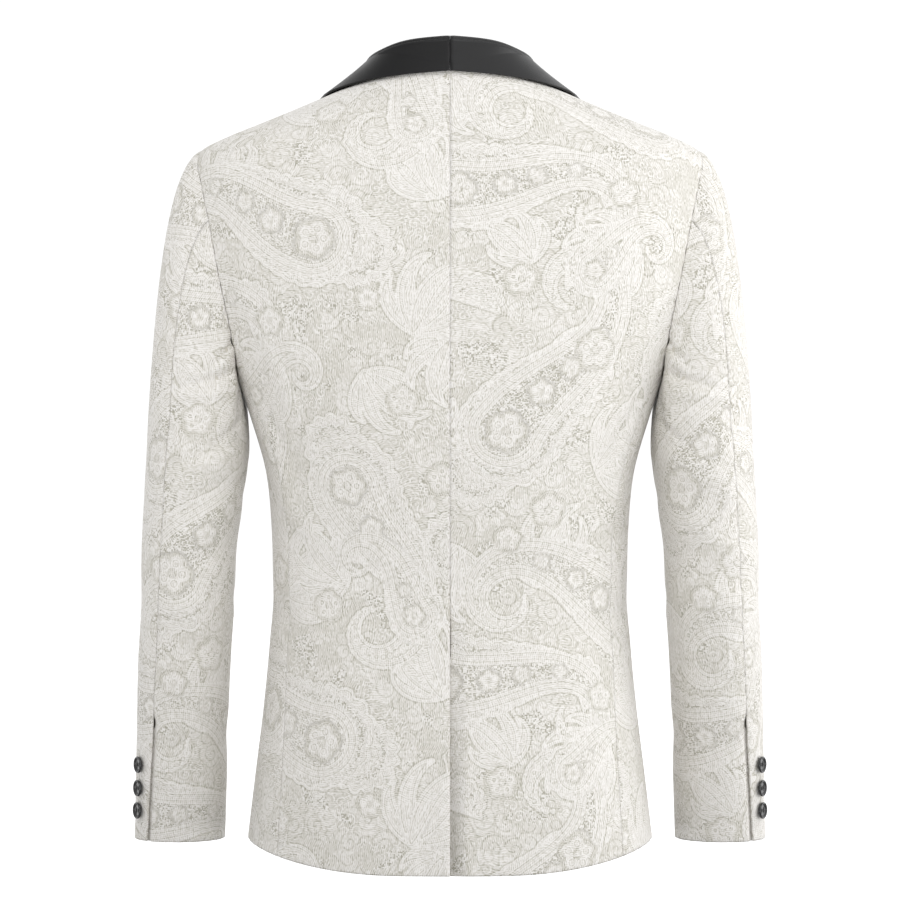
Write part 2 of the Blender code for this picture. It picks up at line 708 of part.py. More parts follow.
def make_body(finish, collection):
    for side, name in SIDES:
        for panel, lines in (
            ("back", back_patch(side)),
            ("side", side_patch()),
            ("front", front_patch()),
        ):
            points = inset(body_point(side, lines[..., 0], lines[..., 1]), SEAM_INSET)
            at = (4, 3)
            cloth(f"{panel}_{name}", points, finish, collection, at, points[at] * (1, 1, 0))


def make_sleeves(finish, collection):
    for side, name in SIDES:
        for piece, under, columns in (
            ("topsleeve", False, TOPSLEEVE_COLUMNS),
            ("undersleeve", True, UNDERSLEEVE_COLUMNS),
        ):
            points = inset(sleeve_grid(side, under, columns), SLEEVE_INSET)
            at = (0, columns // 2)
            axis = sleeve_axis(points[at][2]) * (side, 1, 1)
            cloth(f"{piece}_{name}", points, finish, collection, at, points[at] - axis)


def make_collar(finish, collection):
    for side, name in SIDES:
        points = inset(shawl_grid(side), COLLAR_INSET)
        at, backward = (8, 0), (0, 1, 0)
        cloth(f"shawl_{name}", points, finish, collection, at, backward, thicken_out=True)


def make_buttons(finish, collection):
    for side, name in SIDES:
        for number, z in enumerate(CUFF_BUTTON_Z, 1):
            angle = np.array([CUFF_BUTTON_ANGLE - 1, CUFF_BUTTON_ANGLE, CUFF_BUTTON_ANGLE + 1])
            before, centre, after = sleeve_ring(angle, np.full(3, z)) * (side, 1, 1)
            along = unit(after - before)
            facing = np.array([along[1], -along[0], 0]) * side
            button(
                f"cuff_button_{name}_{number}",
                centre,
                facing,
                CUFF_BUTTON_RADIUS,
                CUFF_BUTTON_HEIGHT,
                finish,
                collection,
            )
    place = (np.array([180.0]), np.array([FRONT_BUTTON_Z]))
    button(
        "front_button",
        body_point(LEFT, *place)[0],
        body_normal(*place)[0],
        FRONT_BUTTON_RADIUS,
        FRONT_BUTTON_HEIGHT,
        finish,
        collection,
    )


def main():
    for old in list(bpy.data.objects):
        bpy.data.objects.remove(old, do_unlink=True)
    jacket = bpy.data.collections.new("tuxedo_jacket")
    bpy.context.scene.collection.children.link(jacket)
    brocade = material("brocade", BROCADE, 0.6)
    satin = material("satin", SATIN, 0.3)
    gloss_black = material("gloss_black", GLOSS_BLACK, 0.15)
    make_body(brocade, jacket)
    make_sleeves(brocade, jacket)
    make_collar(satin, jacket)
    make_buttons(gloss_black, jacket)


main()
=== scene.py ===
"""The looks of a shawl-collar tuxedo jacket in paisley jacquard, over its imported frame.

Sizes are in millimetres until a mesh is made. The body, sleeve and collar surfaces are those of
the solids. Each panel is a fine shell on them, and it is laid out flat, so that the woven
pattern follows the cloth as it does on a panel cut from the bolt.
"""

from collections import namedtuple

import bmesh
import bpy
import numpy as np
from mathutils import Matrix, Vector


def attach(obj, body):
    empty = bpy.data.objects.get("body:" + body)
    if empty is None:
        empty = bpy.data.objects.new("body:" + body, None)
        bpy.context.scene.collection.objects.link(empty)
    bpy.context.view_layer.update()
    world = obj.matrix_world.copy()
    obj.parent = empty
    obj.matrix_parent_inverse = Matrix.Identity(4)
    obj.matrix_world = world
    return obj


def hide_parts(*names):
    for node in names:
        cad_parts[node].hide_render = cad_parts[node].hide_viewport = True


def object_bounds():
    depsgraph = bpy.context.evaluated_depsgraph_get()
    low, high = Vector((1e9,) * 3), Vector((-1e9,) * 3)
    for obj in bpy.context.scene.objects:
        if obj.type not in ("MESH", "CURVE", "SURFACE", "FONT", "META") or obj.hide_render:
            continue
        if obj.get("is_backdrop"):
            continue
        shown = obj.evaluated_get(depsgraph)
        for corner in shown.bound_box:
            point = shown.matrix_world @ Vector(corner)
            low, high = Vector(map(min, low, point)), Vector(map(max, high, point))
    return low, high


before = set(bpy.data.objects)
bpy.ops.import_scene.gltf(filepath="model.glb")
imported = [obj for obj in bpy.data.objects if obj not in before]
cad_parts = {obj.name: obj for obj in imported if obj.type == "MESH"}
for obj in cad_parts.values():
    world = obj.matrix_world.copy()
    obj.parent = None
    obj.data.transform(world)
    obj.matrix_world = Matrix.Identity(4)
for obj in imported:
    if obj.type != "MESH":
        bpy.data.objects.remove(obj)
cad_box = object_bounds()

MM = 0.001
LEVEL = (1, 1, 0)  # times this, a way has no height
LEFT, RIGHT = 1, -1
SIDES = ((LEFT, "left"), (RIGHT, "right"))


def table(kind, *rows):
    """Rows of numbers as named tuples of one kind."""
    return tuple(kind(*row) for row in rows)


# Cloth and seams
WALL = 2.0  # thickness of the lined cloth
SEAM_INSET, INNER_INSET = 0.03, 0.4  # a seam's sides stand back this far, and inside further
SLEEVE_GAP = 0.1  # from the armhole edge to the sleeve
COLLAR_CLEAR = 1.3  # from the body to the underside of the collar's fall
LAP_CLEAR = 1.3  # from an upper layer of a vent or front to the layer below it
SEAM_DIP, SEAM_DIP_REACH = 0.28, 1.5  # the cloth rolls into each seam
# Above these heights the armhole and the sleeve's long seams lie smooth
ARMHOLE_CALM_Z, ELBOW_CALM_Z, CALM_RUN_IN = -262.0, -170.0, 60.0
PUCKER, PUCKER_REACH, PUCKER_LENGTH = 0.22, 9.0, 15.0
PUCKER_DRIFT, PUCKER_DRIFT_LENGTH = 2.6, 37.0  # they aren't evenly spaced
# Body
BODY_POWER = 2.3  # the rings are superellipses: 2 is an ellipse, more is boxier
NAPE_Z = 8.0
SHOULDER_TURN = 86.0  # the shoulder seam lies just behind the ridge
HEM_BACK_Z, HEM_SIDE_Z, HEM_FRONT_Z = -712.0, -691.0, -706.0
HEM_BACK_LEVEL_TURN, HEM_FRONT_LEVEL_TURN = 12.0, 150.0  # the hem is level beyond these
LINE_SAMPLES = 80  # points on a seam's line before it is divided

BodyRing = namedtuple("BodyRing", "z half_width back front")
BODY = table(
    BodyRing,
    (8, 70, 74, 60),
    (0, 88, 77, 64),
    (-12, 116, 82, 69),
    (-24, 144.5, 87, 74),
    (-36, 174, 91, 79),
    (-48, 204, 94, 83),
    (-61, 229.5, 97, 88),
    (-73, 236.5, 100, 93),
    (-92, 238.5, 104.5, 99.5),
    (-130, 238, 111, 110),
    (-179, 232, 117, 119),
    (-235, 213.5, 119, 124),
    (-275, 194.5, 118, 124),
    (-313, 181.5, 115, 121),
    (-354, 170, 110, 116),
    (-400, 165, 104, 109),
    (-455, 163.5, 99, 104),
    (-510, 166, 103, 107),
    (-570, 171.5, 114, 112),
    (-640, 180, 127, 118),
    (-700, 187, 135, 122),
    (-720, 189, 137, 123),
)

# Armhole, as a loop that starts at the shoulder seam and runs down the back
ARMHOLE_MID_TURN, ARMHOLE_MID_Z, ARMHOLE_HALF_HEIGHT = 88.0, -168.0, 107.0
ARMHOLE_BACK, ARMHOLE_FRONT = 25.0, 26.0  # half-widths, in degrees of turn
ARMHOLE_SKEW = 0.15  # the loop is wider in its lower half
ARMHOLE_LOWER_POWER = 0.8
SIDE_BACK_AT, SIDE_FRONT_AT = 150.0, 205.0  # where the side seams meet the loop

Seam = namedtuple("Seam", "turn z")
SIDE_BACK_SEAM = table(Seam, (66, -330), (62, -455), (60.5, -520), (55.5, -645))
SIDE_BACK_HEM_TURN = 54.0
SIDE_FRONT_SEAM = table(Seam, (108, -330), (111, -455), (111.5, -560))
SIDE_FRONT_HEM_TURN = 112.0

# Centre vent in the back: the left panel laps over the right one
VENT_TOP_Z, VENT_UNDERLAP_TURN = -520.0, -9.0
VENT_RUN_IN = 28.0  # height over which the underlap reaches its width
VENT_SINK_START_Z = -470.0  # the right panel sinks under the left one from here down
VENT_SINK_RUN_IN, VENT_SINK_HEM, VENT_SINK_WIDTH = 36.0, 6.0, 16.0
VENT_LIFT_HEM, VENT_LIFT_WIDTH = 2.0, 26.0

# Front edge below the lapel, as distance from the centre line on the panel's own side
FrontEdge = namedtuple("FrontEdge", "x z")
FRONT_EDGE = table(
    FrontEdge,
    (-5, -393),
    (-9, -408),
    (-13, -426),
    (-18, -462),
    (-15, -525),
    (-5, -590),
    (13, -640),
    (37, -676),
    (64, -696),
    (84, -703),
)
FRONT_HEM_X = 108.0
# The right front lies under the left one: it sinks down to there over the run-in and the step
FRONT_LAP_TOP_Z, FRONT_LAP_RUN_IN = -362.0, 26.0
FRONT_LAP_WIDTH, FRONT_LAP_STEP = 48.0, 26.0

# Shawl collar: the neck seam and the outer edge, both on the body, from centre back to the break
Collar = namedtuple("Collar", "neck_turn neck_z edge_turn edge_z stand")
SHAWL = table(
    Collar,
    (0, 8, 0, 4.4, 24),
    (32, 8, 33, 0.3, 20.8),
    (60, 7.5, 54, -3.9, 15.6),
    (86, 6.5, 76, -9.4, 13.0),
    (106, 3.5, 99, -14, 11.8),
    (128, -2, 122.5, -24, 9),
    (146.7, -15, 143.6, -46, 4.2),
    (156.8, -30, 150.2, -66, 1.6),
    (164.1, -51, 150.9, -91, 0.8),
    (167.2, -76, 151.5, -119, 0.5),
    (168.7, -108, 152.4, -148, 0.3),
    (171.4, -180, 155, -214, 0),
    (173.5, -255, 158.9, -278, 0),
    (176.1, -330, 166, -340, 0),
    (178.6, -388, 177.0, -391.5, 0),
)
SHOULDER_ROW = 3  # the row above that is at the shoulder seam
FOLD_EASE_ROW, FOLD_EASE_ROWS = 5, 3  # the stand runs out from this row, over so many rows
FOLD_BACK, FOLD_FRONT = 2.6, 1.8  # radius of the fold at the roll line, on its underside
STAND_LEAN = 0.2  # the stand leans in towards the neck
LEAST_STAND = 1.5
FOOT_UP, FOOT_IN = 1.1, 0.5  # from the neck seam to the foot of the stand
ROLL_LIFT = 2.4  # the fall stands this much further off the body at the roll than at its edge

# Sleeve rings below the armhole, level, from the biceps to the cuff
SleeveRing = namedtuple("SleeveRing", "z x y half_width half_depth")
SLEEVE = table(
    SleeveRing,
    (-340, 232.6, 2, 47.2, 64),
    (-378, 236, 1, 45.8, 62),
    (-430, 240.9, -2, 43.8, 59),
    (-481, 242.6, -6, 42.9, 56),
    (-533, 246, -11, 42.7, 53),
    (-584, 248, -18, 42.3, 50),
    (-640, 250, -26, 42.2, 48),
    (-697, 252, -35, 42.0, 46),
)
SLEEVE_POWER = 2.15
HEAD_RISE, UNDERARM_RISE = 20.0, 107.0  # how steeply the cloth leaves the armhole, in degrees
HEAD_PULL, UNDERARM_PULL, HEAD_SPREAD = 0.37, 0.8, 0.12
RING_PULL, RING_LEAN = 1.2, 0.05  # and how straight down it reaches the biceps ring
TO_MIDDLE = 0.04  # the way out of the armhole is read over this share of the way to its middle
UNDERARM_DROP = 2.2  # at the underarm the sleeve starts this many gaps off the body

SeamAngle = namedtuple("SeamAngle", "z back front")
SLEEVE_SEAMS = table(
    SeamAngle,
    (-61, 68, 244),
    (-340, 60, 242),
    (-560, 58, 235),
    (-697, 50, 228),
)
SLIT_TOP_Z, SLIT_UNDERLAP, SLIT_RUN_IN = -588.0, 14.0, 18.0
SLIT_STEP, SLIT_SINK_RUN_IN = 9.0, 16.0  # the underlap sinks over this angle and height

# Soft folds: a trough is negative. Tilt is from level, in degrees, rising towards the front.
Fold = namedtuple("Fold", "turn z length width tilt depth")
BODY_FOLDS = table(
    Fold,
    (56, -285, 190, 26, 78, -2.6),
    (66, -352, 120, 22, 60, 2.0),
    (48, -430, 150, 24, 24, -1.8),
    (70, -486, 120, 20, 12, -2.2),
    (30, -520, 140, 30, 8, 1.6),
    (128, -330, 160, 28, 55, -2.2),
    (122, -470, 130, 24, 10, -2.0),
)
SLEEVE_FOLDS_Z, SLEEVE_FOLDS_RUN_IN = -150.0, 90.0  # the sleeve's head has none above this
SLEEVE_FOLDS = table(
    Fold,
    (70, -300, 95, 16, 35, -3.0),
    (96, -384, 110, 16, 22, -3.2),
    (110, -432, 120, 18, 14, -2.6),
    (82, -478, 100, 16, -10, 2.0),
    (300, -300, 100, 18, -30, -2.6),
    (285, -452, 130, 16, -14, -3.4),
    (262, -500, 90, 14, 10, -2.4),
    (180, -600, 90, 18, 16, -1.6),
)

# Buttons
CUFF_BUTTON_RADIUS, CUFF_BUTTON_HEIGHT = 7.8, 3.2
CUFF_BUTTON_Z = (-626.0, -648.0, -669.0)
CUFF_BUTTON_ANGLE = 33.0
FRONT_BUTTON_RADIUS, FRONT_BUTTON_HEIGHT, FRONT_BUTTON_Z = 10.5, 4.0, -440.0
BUTTON_GAP = 0.9
STRAND, STRAND_LIFT = 0.3, 0.2  # radius of the thread across the eyes, and how high it lies
SHANK_TOP, SHANK_FOOT, SHANK_INTO = 1.2, 1.5, 0.3  # its radii, and its reach into its two ends
# Buttonhole of the left front: its ends, from the centre line, and its worked edge
HOLE_FROM, HOLE_TO, HOLE_HALF, HOLE_THREAD, HOLE_LIFT, HOLE_STEPS = 2.0, 22.0, 1.1, 0.6, 0.3, 48
# Creases that the solids leave out: wearer's side, 1 left, -1 right, 0 both
Crease = namedtuple("Crease", "side turn z length width tilt depth")
BODY_CREASES = table(
    Crease,
    (1, 44, -262, 120, 13, 80, -1.2),
    (-1, 42, -250, 110, 14, 78, -1.0),
    (0, 60, -318, 70, 9, 66, -1.5),
    (1, 30, -345, 130, 20, 62, -0.9),
    (-1, 26, -372, 120, 18, 58, -0.8),
    (1, 52, -405, 90, 12, 32, 1.0),
    (-1, 57, -398, 100, 13, 26, 0.9),
    (0, 20, -455, 110, 16, 14, -0.8),
    (1, 36, -478, 120, 12, 10, -1.0),
    (-1, 40, -500, 110, 13, 6, -0.9),
    (0, 8, -560, 90, 14, 86, 0.8),
    (1, 34, -600, 170, 26, 82, 1.2),
    (-1, 30, -610, 160, 24, 84, 1.1),
    (0, 12, -130, 150, 30, 4, 0.7),
    (1, 60, -95, 90, 16, 40, -0.7),
    (-1, 62, -100, 80, 15, 44, -0.8),
    (1, 136, -180, 120, 18, 62, -0.9),
    (-1, 140, -190, 110, 20, 58, -1.0),
    (0, 150, -420, 120, 14, 24, -1.1),
    (0, 140, -470, 110, 12, 10, -0.9),
    (1, 128, -590, 150, 22, 82, 1.1),
    (-1, 132, -600, 150, 24, 84, 1.0),
)
SLEEVE_CREASES = table(
    Crease,
    (0, 121, -246, 64, 4.5, 40, -3.4),
    (0, 115, -257, 62, 6, 32, 2.6),
    (0, 110, -271, 84, 4.5, 13, -3.8),
    (0, 104, -285, 80, 7, 5, 2.4),
    (0, 150, -292, 70, 10, 80, -3.2),
    (0, 136, -318, 62, 4.5, 24, -3.0),
    (0, 120, -334, 70, 6, 16, -2.2),
    (0, 236, -252, 60, 5, -34, -3.0),
    (0, 244, -268, 76, 5, -16, -3.2),
    (0, 226, -300, 64, 6, -26, -2.4),
    (1, 74, -262, 80, 9, 44, -1.3),
    (-1, 66, -270, 90, 10, 40, -1.5),
    (1, 92, -338, 90, 10, 30, -1.5),
    (-1, 98, -330, 100, 10, 26, -1.3),
    (0, 60, -418, 80, 9, 20, -1.4),
    (1, 120, -352, 70, 9, -18, 1.1),
    (-1, 84, -452, 90, 10, 8, -1.2),
    (1, 100, -520, 90, 12, 18, -1.1),
    (-1, 106, -540, 80, 12, 14, -1.0),
    (0, 90, -604, 80, 12, 10, -0.8),
    (0, 310, -350, 90, 10, -28, -1.3),
    (1, 280, -400, 90, 10, -16, -1.5),
    (-1, 276, -412, 90, 11, -12, -1.4),
    (0, 250, -540, 80, 12, 12, -1.1),
    (0, 200, -470, 80, 10, 8, -1.2),
    (0, 190, -380, 80, 10, -20, -1.1),
)

# How finely each piece is divided. All counts are multiples of NET_STEP.
INNER_STEP, NET_STEP = 4, 8
# A point of each piece, as (row, column), where the way out is known
PANEL_SPOT, SLEEVE_SPOT_ROW, SHAWL_SPOT = (40, 30), 8, (40, 4)
FLAT_ROUNDS, FLAT_PULL = 1600, 1.6
BACK_COLUMNS, BACK_ROWS, BACK_SPLITS = 128, (256, 124, 60), (0.55, 0.9)
FRONT_COLUMNS, FRONT_ROWS, FRONT_SPLIT, EDGE_CROWD = 120, (240, 136), 0.62, 1.3
SIDE_COLUMNS, SIDE_ROWS = 104, 240
ARM_ROWS, TOPSLEEVE_HEAD_ROWS, UNDERSLEEVE_HEAD_ROWS = 208, 168, 96
TOPSLEEVE_COLUMNS, UNDERSLEEVE_COLUMNS = 104, 96
SHAWL_STATIONS, STAND_LINES, ROLL_LINES, FALL_LINES = 240, 5, 13, 39


def ease(t):
    """0 below 0, 1 above 1, smooth between."""
    t = np.clip(t, 0, 1)
    return t * t * (3 - 2 * t)


def cubic(t, start, leave, end, arrive):
    """From start to end as t goes from 0 to 1, at the speeds leave and arrive."""
    return (
        (1 + 2 * t) * (1 - t) ** 2 * start
        + t * (1 - t) ** 2 * leave
        + t * t * (3 - 2 * t) * end
        + t * t * (t - 1) * arrive
    )


def follow(keys, values, at):
    """A smooth curve through the values at the keys, read at any place."""
    keys, values, at = (np.asarray(a, float) for a in (keys, values, at))
    if keys[0] > keys[-1]:
        keys, values = keys[::-1], values[::-1]
    slopes = np.gradient(values, keys)
    at = np.clip(at, keys[0], keys[-1])
    i = np.clip(np.searchsorted(keys, at) - 1, 0, len(keys) - 2)
    step = keys[i + 1] - keys[i]
    t = (at - keys[i]) / step
    return cubic(t, values[i], step * slopes[i], values[i + 1], step * slopes[i + 1])


def column(rows, name):
    return [getattr(row, name) for row in rows]


def read(rows, name, at, key="z"):
    return follow(column(rows, key), column(rows, name), at)


def power(value, exponent):
    return np.sign(value) * np.abs(value) ** exponent


def points_of(x, y, z):
    return np.stack(np.broadcast_arrays(x, y, z), -1).astype(float)


def unit(vectors):
    return vectors / np.linalg.norm(vectors, axis=-1, keepdims=True)


def fold_height(folds, turn, z, across):
    """How far the folds move a point out. across is the size of one degree of turn."""
    total = np.zeros(np.broadcast(turn, z).shape)
    for fold in folds:
        tilt = np.radians(fold.tilt)
        du, dv = (turn - fold.turn) * across, z - fold.z
        along = du * np.cos(tilt) + dv * np.sin(tilt)
        aside = dv * np.cos(tilt) - du * np.sin(tilt)
        total += fold.depth * np.exp(-((2 * along / fold.length) ** 2) - (aside / fold.width) ** 2)
    return total


# The body surface


def body_depth(y, z):
    """Half the body's depth, on the side where y lies."""
    return np.where(y > 0, read(BODY, "back", z), read(BODY, "front", z))


def smooth_body(turn, z):
    """Points of the body without folds or laps, on the wearer's left."""
    angle = np.radians(turn)
    level = np.minimum(z, NAPE_Z)
    depth = body_depth(np.cos(angle), level)
    x = read(BODY, "half_width", level) * power(np.sin(angle), 2 / BODY_POWER)
    y = depth * power(np.cos(angle), 2 / BODY_POWER)
    return points_of(x, y, z)


def body_normal(turn, z):
    """The direction straight out of the body."""
    step = 0.6
    low, high = np.minimum(z, NAPE_Z) - step, np.minimum(z, NAPE_Z)
    by_turn = smooth_body(turn + step, high) - smooth_body(turn - step, high)
    by_height = smooth_body(turn, high) - smooth_body(turn, low)
    return unit(np.cross(by_height, by_turn))


def out_of_body(points):
    """About how far points stand off the body, and the way straight out."""

    def level(p):
        z = np.minimum(p[..., 2], NAPE_Z)
        wide = np.abs(p[..., 0]) / read(BODY, "half_width", z)
        deep = np.abs(p[..., 1]) / body_depth(p[..., 1], z)
        return (wide**BODY_POWER + deep**BODY_POWER) ** (1 / BODY_POWER)

    here, step = level(points), 0.5
    slope = np.stack(
        [
            (level(points + step * axis) - level(points - step * axis)) / (2 * step)
            for axis in np.eye(3)
        ],
        axis=-1,
    )
    size = np.linalg.norm(slope, axis=-1)
    return (here - 1) / size, slope / size[..., None]


def lap_depth(side, x, z):
    """How far a panel stands out of the body at the vent and the front, by its own x."""
    below = ease((VENT_SINK_START_Z - z) / VENT_SINK_RUN_IN)
    share = np.clip((VENT_TOP_Z - z) / (VENT_TOP_Z - HEM_BACK_Z), 0, 1)
    if side == RIGHT:
        sink = WALL + LAP_CLEAR + VENT_SINK_HEM * share
        return -below * sink * ease((VENT_SINK_WIDTH - x) / VENT_SINK_WIDTH)
    return VENT_LIFT_HEM * share * ease((VENT_LIFT_WIDTH - x) / VENT_LIFT_WIDTH)


def front_lap_depth(side, x, z):
    if side == LEFT:
        return np.zeros(np.broadcast(x, z).shape)
    below = ease((FRONT_LAP_TOP_Z - z) / FRONT_LAP_RUN_IN)
    return -below * (WALL + LAP_CLEAR) * ease((FRONT_LAP_WIDTH - x) / FRONT_LAP_STEP)


def body_point(side, turn, z):
    """Points of the outer face of the body's cloth."""
    points = smooth_body(turn, z)
    girth = read(BODY, "half_width", np.minimum(z, NAPE_Z)) * np.pi / 180
    creases = [crease for crease in BODY_CREASES if crease.side in (0, side)]
    out = fold_height((*BODY_FOLDS, *creases), turn, z, girth)
    x = points[..., 0]
    out = out + np.where(
        np.abs(turn) < 90, lap_depth(side, x, z), front_lap_depth(side, x, z)
    )
    points = points + out[..., None] * body_normal(turn, z)
    return points * (side, 1, 1)


def hem_z(turn):
    up = ease((np.abs(turn) - HEM_BACK_LEVEL_TURN) / (90 - HEM_BACK_LEVEL_TURN))
    down = ease((turn - 90) / (HEM_FRONT_LEVEL_TURN - 90))
    back = HEM_BACK_Z + (HEM_SIDE_Z - HEM_BACK_Z) * up
    front = HEM_SIDE_Z + (HEM_FRONT_Z - HEM_SIDE_Z) * down
    return np.where(np.abs(turn) < 90, back, front)


def turn_at(x, z):
    """The turn of the front point that has this x."""
    share = np.clip(x / read(BODY, "half_width", z), -1, 1)
    return 180 - np.degrees(np.arcsin(power(share, BODY_POWER / 2)))


def armhole(angle):
    """(turn, z) on the armhole. 0 is the shoulder seam, 90 the back, 180 the underarm."""
    angle = np.radians(angle)
    half = np.where(np.sin(angle) > 0, ARMHOLE_BACK, ARMHOLE_FRONT)
    squareness = np.where(np.cos(angle) > 0, 1, ARMHOLE_LOWER_POWER)
    reach = half * power(np.sin(angle), squareness) * (1 - ARMHOLE_SKEW * np.cos(angle))
    middle = 0.5 * (SHOULDER_TURN + 90) - 0.5 * (90 - SHOULDER_TURN) * np.cos(angle)
    return np.stack([middle - reach, ARMHOLE_MID_Z + ARMHOLE_HALF_HEIGHT * np.cos(angle)], -1)


def through(seam, *ends):
    """A smooth line of (turn, z) through a seam's rows, from its lowest to its highest."""
    rows = sorted([*seam, *ends], key=lambda row: row[1])
    z = np.linspace(rows[0][1], rows[-1][1], LINE_SAMPLES)
    return np.stack([follow([r[1] for r in rows], [r[0] for r in rows], z), z], -1)


def joined(*lines):
    """Lines that each start where the one before ends, as one line."""
    return np.concatenate([lines[0], *(line[1:] for line in lines[1:])])


def lengths(line):
    """How far along the line each of its points is."""
    return np.concatenate([[0], np.cumsum(np.linalg.norm(np.diff(line, axis=0), axis=1))])


def read_line(line, length, at):
    """The line's pairs, read where the length is at."""
    return np.stack([np.interp(at, length, line[:, 0]), np.interp(at, length, line[:, 1])], -1)


def spaced(line, at):
    """(turn, z) on the line at shares of its length along the body."""
    length = lengths(smooth_body(line[:, 0], line[:, 1]))
    return read_line(line, length, at * length[-1])


def patch(bottom, top, start, end, across, up):
    """(turn, z) all over the patch between four lines, as an array [row, column]."""
    u = across[None, :, None]
    v = up[:, None, None]
    by_rows = (1 - v) * bottom[None] + v * top[None]
    by_columns = (1 - u) * start[:, None] + u * end[:, None]
    corners = (1 - v) * ((1 - u) * bottom[0] + u * bottom[-1]) + v * (
        (1 - u) * top[0] + u * top[-1]
    )
    return by_rows + by_columns - corners


def arc(first, last):
    return armhole(np.linspace(first, last, LINE_SAMPLES))


def hem_line(first, last):
    turn = np.linspace(first, last, LINE_SAMPLES)
    return np.stack([turn, hem_z(turn)], -1)


def side_line(seam, hem_turn, armhole_at):
    return through(seam, (hem_turn, float(hem_z(hem_turn))), tuple(armhole(armhole_at)))


def side_back_line():
    return side_line(SIDE_BACK_SEAM, SIDE_BACK_HEM_TURN, SIDE_BACK_AT)


def side_front_line():
    return side_line(SIDE_FRONT_SEAM, SIDE_FRONT_HEM_TURN, SIDE_FRONT_AT)


def neck_line(first, last):
    """The neck seam between two places in the collar's rows."""
    at = np.linspace(first, last, LINE_SAMPLES)
    rows = range(len(SHAWL))
    return np.stack([follow(rows, column(SHAWL, name), at) for name in Collar._fields[:2]], -1)


def shoulder_line():
    """The shoulder seam, from the armhole up to the neck."""
    end_z = ARMHOLE_MID_Z + ARMHOLE_HALF_HEIGHT
    z = np.linspace(end_z, SHAWL[SHOULDER_ROW].neck_z, LINE_SAMPLES)
    return np.stack([np.full(LINE_SAMPLES, SHOULDER_TURN), z], -1)


def even(count, crowd=1.0):
    """count + 1 places from 0 to 1. Crowd draws them to 0."""
    return np.linspace(0, 1, count + 1) ** crowd


def panel_rows(counts, splits):
    """Shares up a panel: each stretch of its side has its own count of rows."""
    ends = (0, *splits, 1)
    return joined(*(
        low + (high - low) * even(count) for count, low, high in zip(counts, ends, ends[1:])
    ))


def back_patch(side):
    z = np.linspace(HEM_BACK_Z, NAPE_Z, LINE_SAMPLES)
    underlap = VENT_UNDERLAP_TURN if side == RIGHT else 0
    centre = np.stack([underlap * ease((VENT_TOP_Z - z) / VENT_RUN_IN), z], -1)
    across, up = even(BACK_COLUMNS), panel_rows(BACK_ROWS, BACK_SPLITS)
    seam, armhole_edge, shoulder = BACK_ROWS
    return patch(
        bottom=spaced(hem_line(underlap, SIDE_BACK_HEM_TURN), across),
        top=spaced(neck_line(0, SHOULDER_ROW), across),
        start=spaced(centre, up),
        end=joined(
            spaced(side_back_line(), even(seam)),
            spaced(arc(SIDE_BACK_AT, 0), even(armhole_edge)),
            spaced(shoulder_line(), even(shoulder)),
        ),
        across=across,
        up=up,
    )


def side_patch(side):
    across, up = even(SIDE_COLUMNS), even(SIDE_ROWS)
    return patch(
        bottom=spaced(hem_line(SIDE_BACK_HEM_TURN, SIDE_FRONT_HEM_TURN), across),
        top=spaced(arc(SIDE_BACK_AT, SIDE_FRONT_AT), across),
        start=spaced(side_back_line(), up),
        end=spaced(side_front_line(), up),
        across=across,
        up=up,
    )


def front_edge_line():
    """The front edge, from the hem up to the break."""
    break_z = SHAWL[-1].neck_z
    break_x = smooth_body(SHAWL[-1].neck_turn, break_z)[0]
    rows = sorted([FrontEdge(break_x, break_z), *FRONT_EDGE], key=lambda row: row.z)
    z = np.linspace(rows[0].z, break_z, 2 * LINE_SAMPLES)
    edge = np.stack([turn_at(read(rows, "x", z), z), z], -1)
    hem_turn = float(turn_at(FRONT_HEM_X, HEM_FRONT_Z))
    return joined(np.array([(hem_turn, float(hem_z(hem_turn))), edge[0]]), edge)


def front_patch(side):
    across = even(FRONT_COLUMNS)
    edge = front_edge_line()
    lapel = neck_line(len(SHAWL) - 1, SHOULDER_ROW)
    seam, armhole_edge = FRONT_ROWS
    edge_rows = (seam + armhole_edge) // 2
    return patch(
        bottom=spaced(hem_line(SIDE_FRONT_HEM_TURN, edge[0, 0]), across),
        top=spaced(shoulder_line(), across),
        start=joined(
            spaced(side_front_line(), even(seam)),
            spaced(arc(SIDE_FRONT_AT, 360), even(armhole_edge)),
        ),
        end=joined(
            spaced(edge, even(edge_rows, EDGE_CROWD)),
            spaced(lapel, even(edge_rows)),
        ),
        across=across,
        up=panel_rows(FRONT_ROWS, (FRONT_SPLIT,)),
    )


# The sleeves


def sleeve_ring(angle, z):
    angle = np.radians(angle)
    wide, deep = (power(way(angle), 2 / SLEEVE_POWER) for way in (np.cos, np.sin))
    x = read(SLEEVE, "x", z) + read(SLEEVE, "half_width", z) * wide
    y = read(SLEEVE, "y", z) + read(SLEEVE, "half_depth", z) * deep
    return points_of(x, y, z)


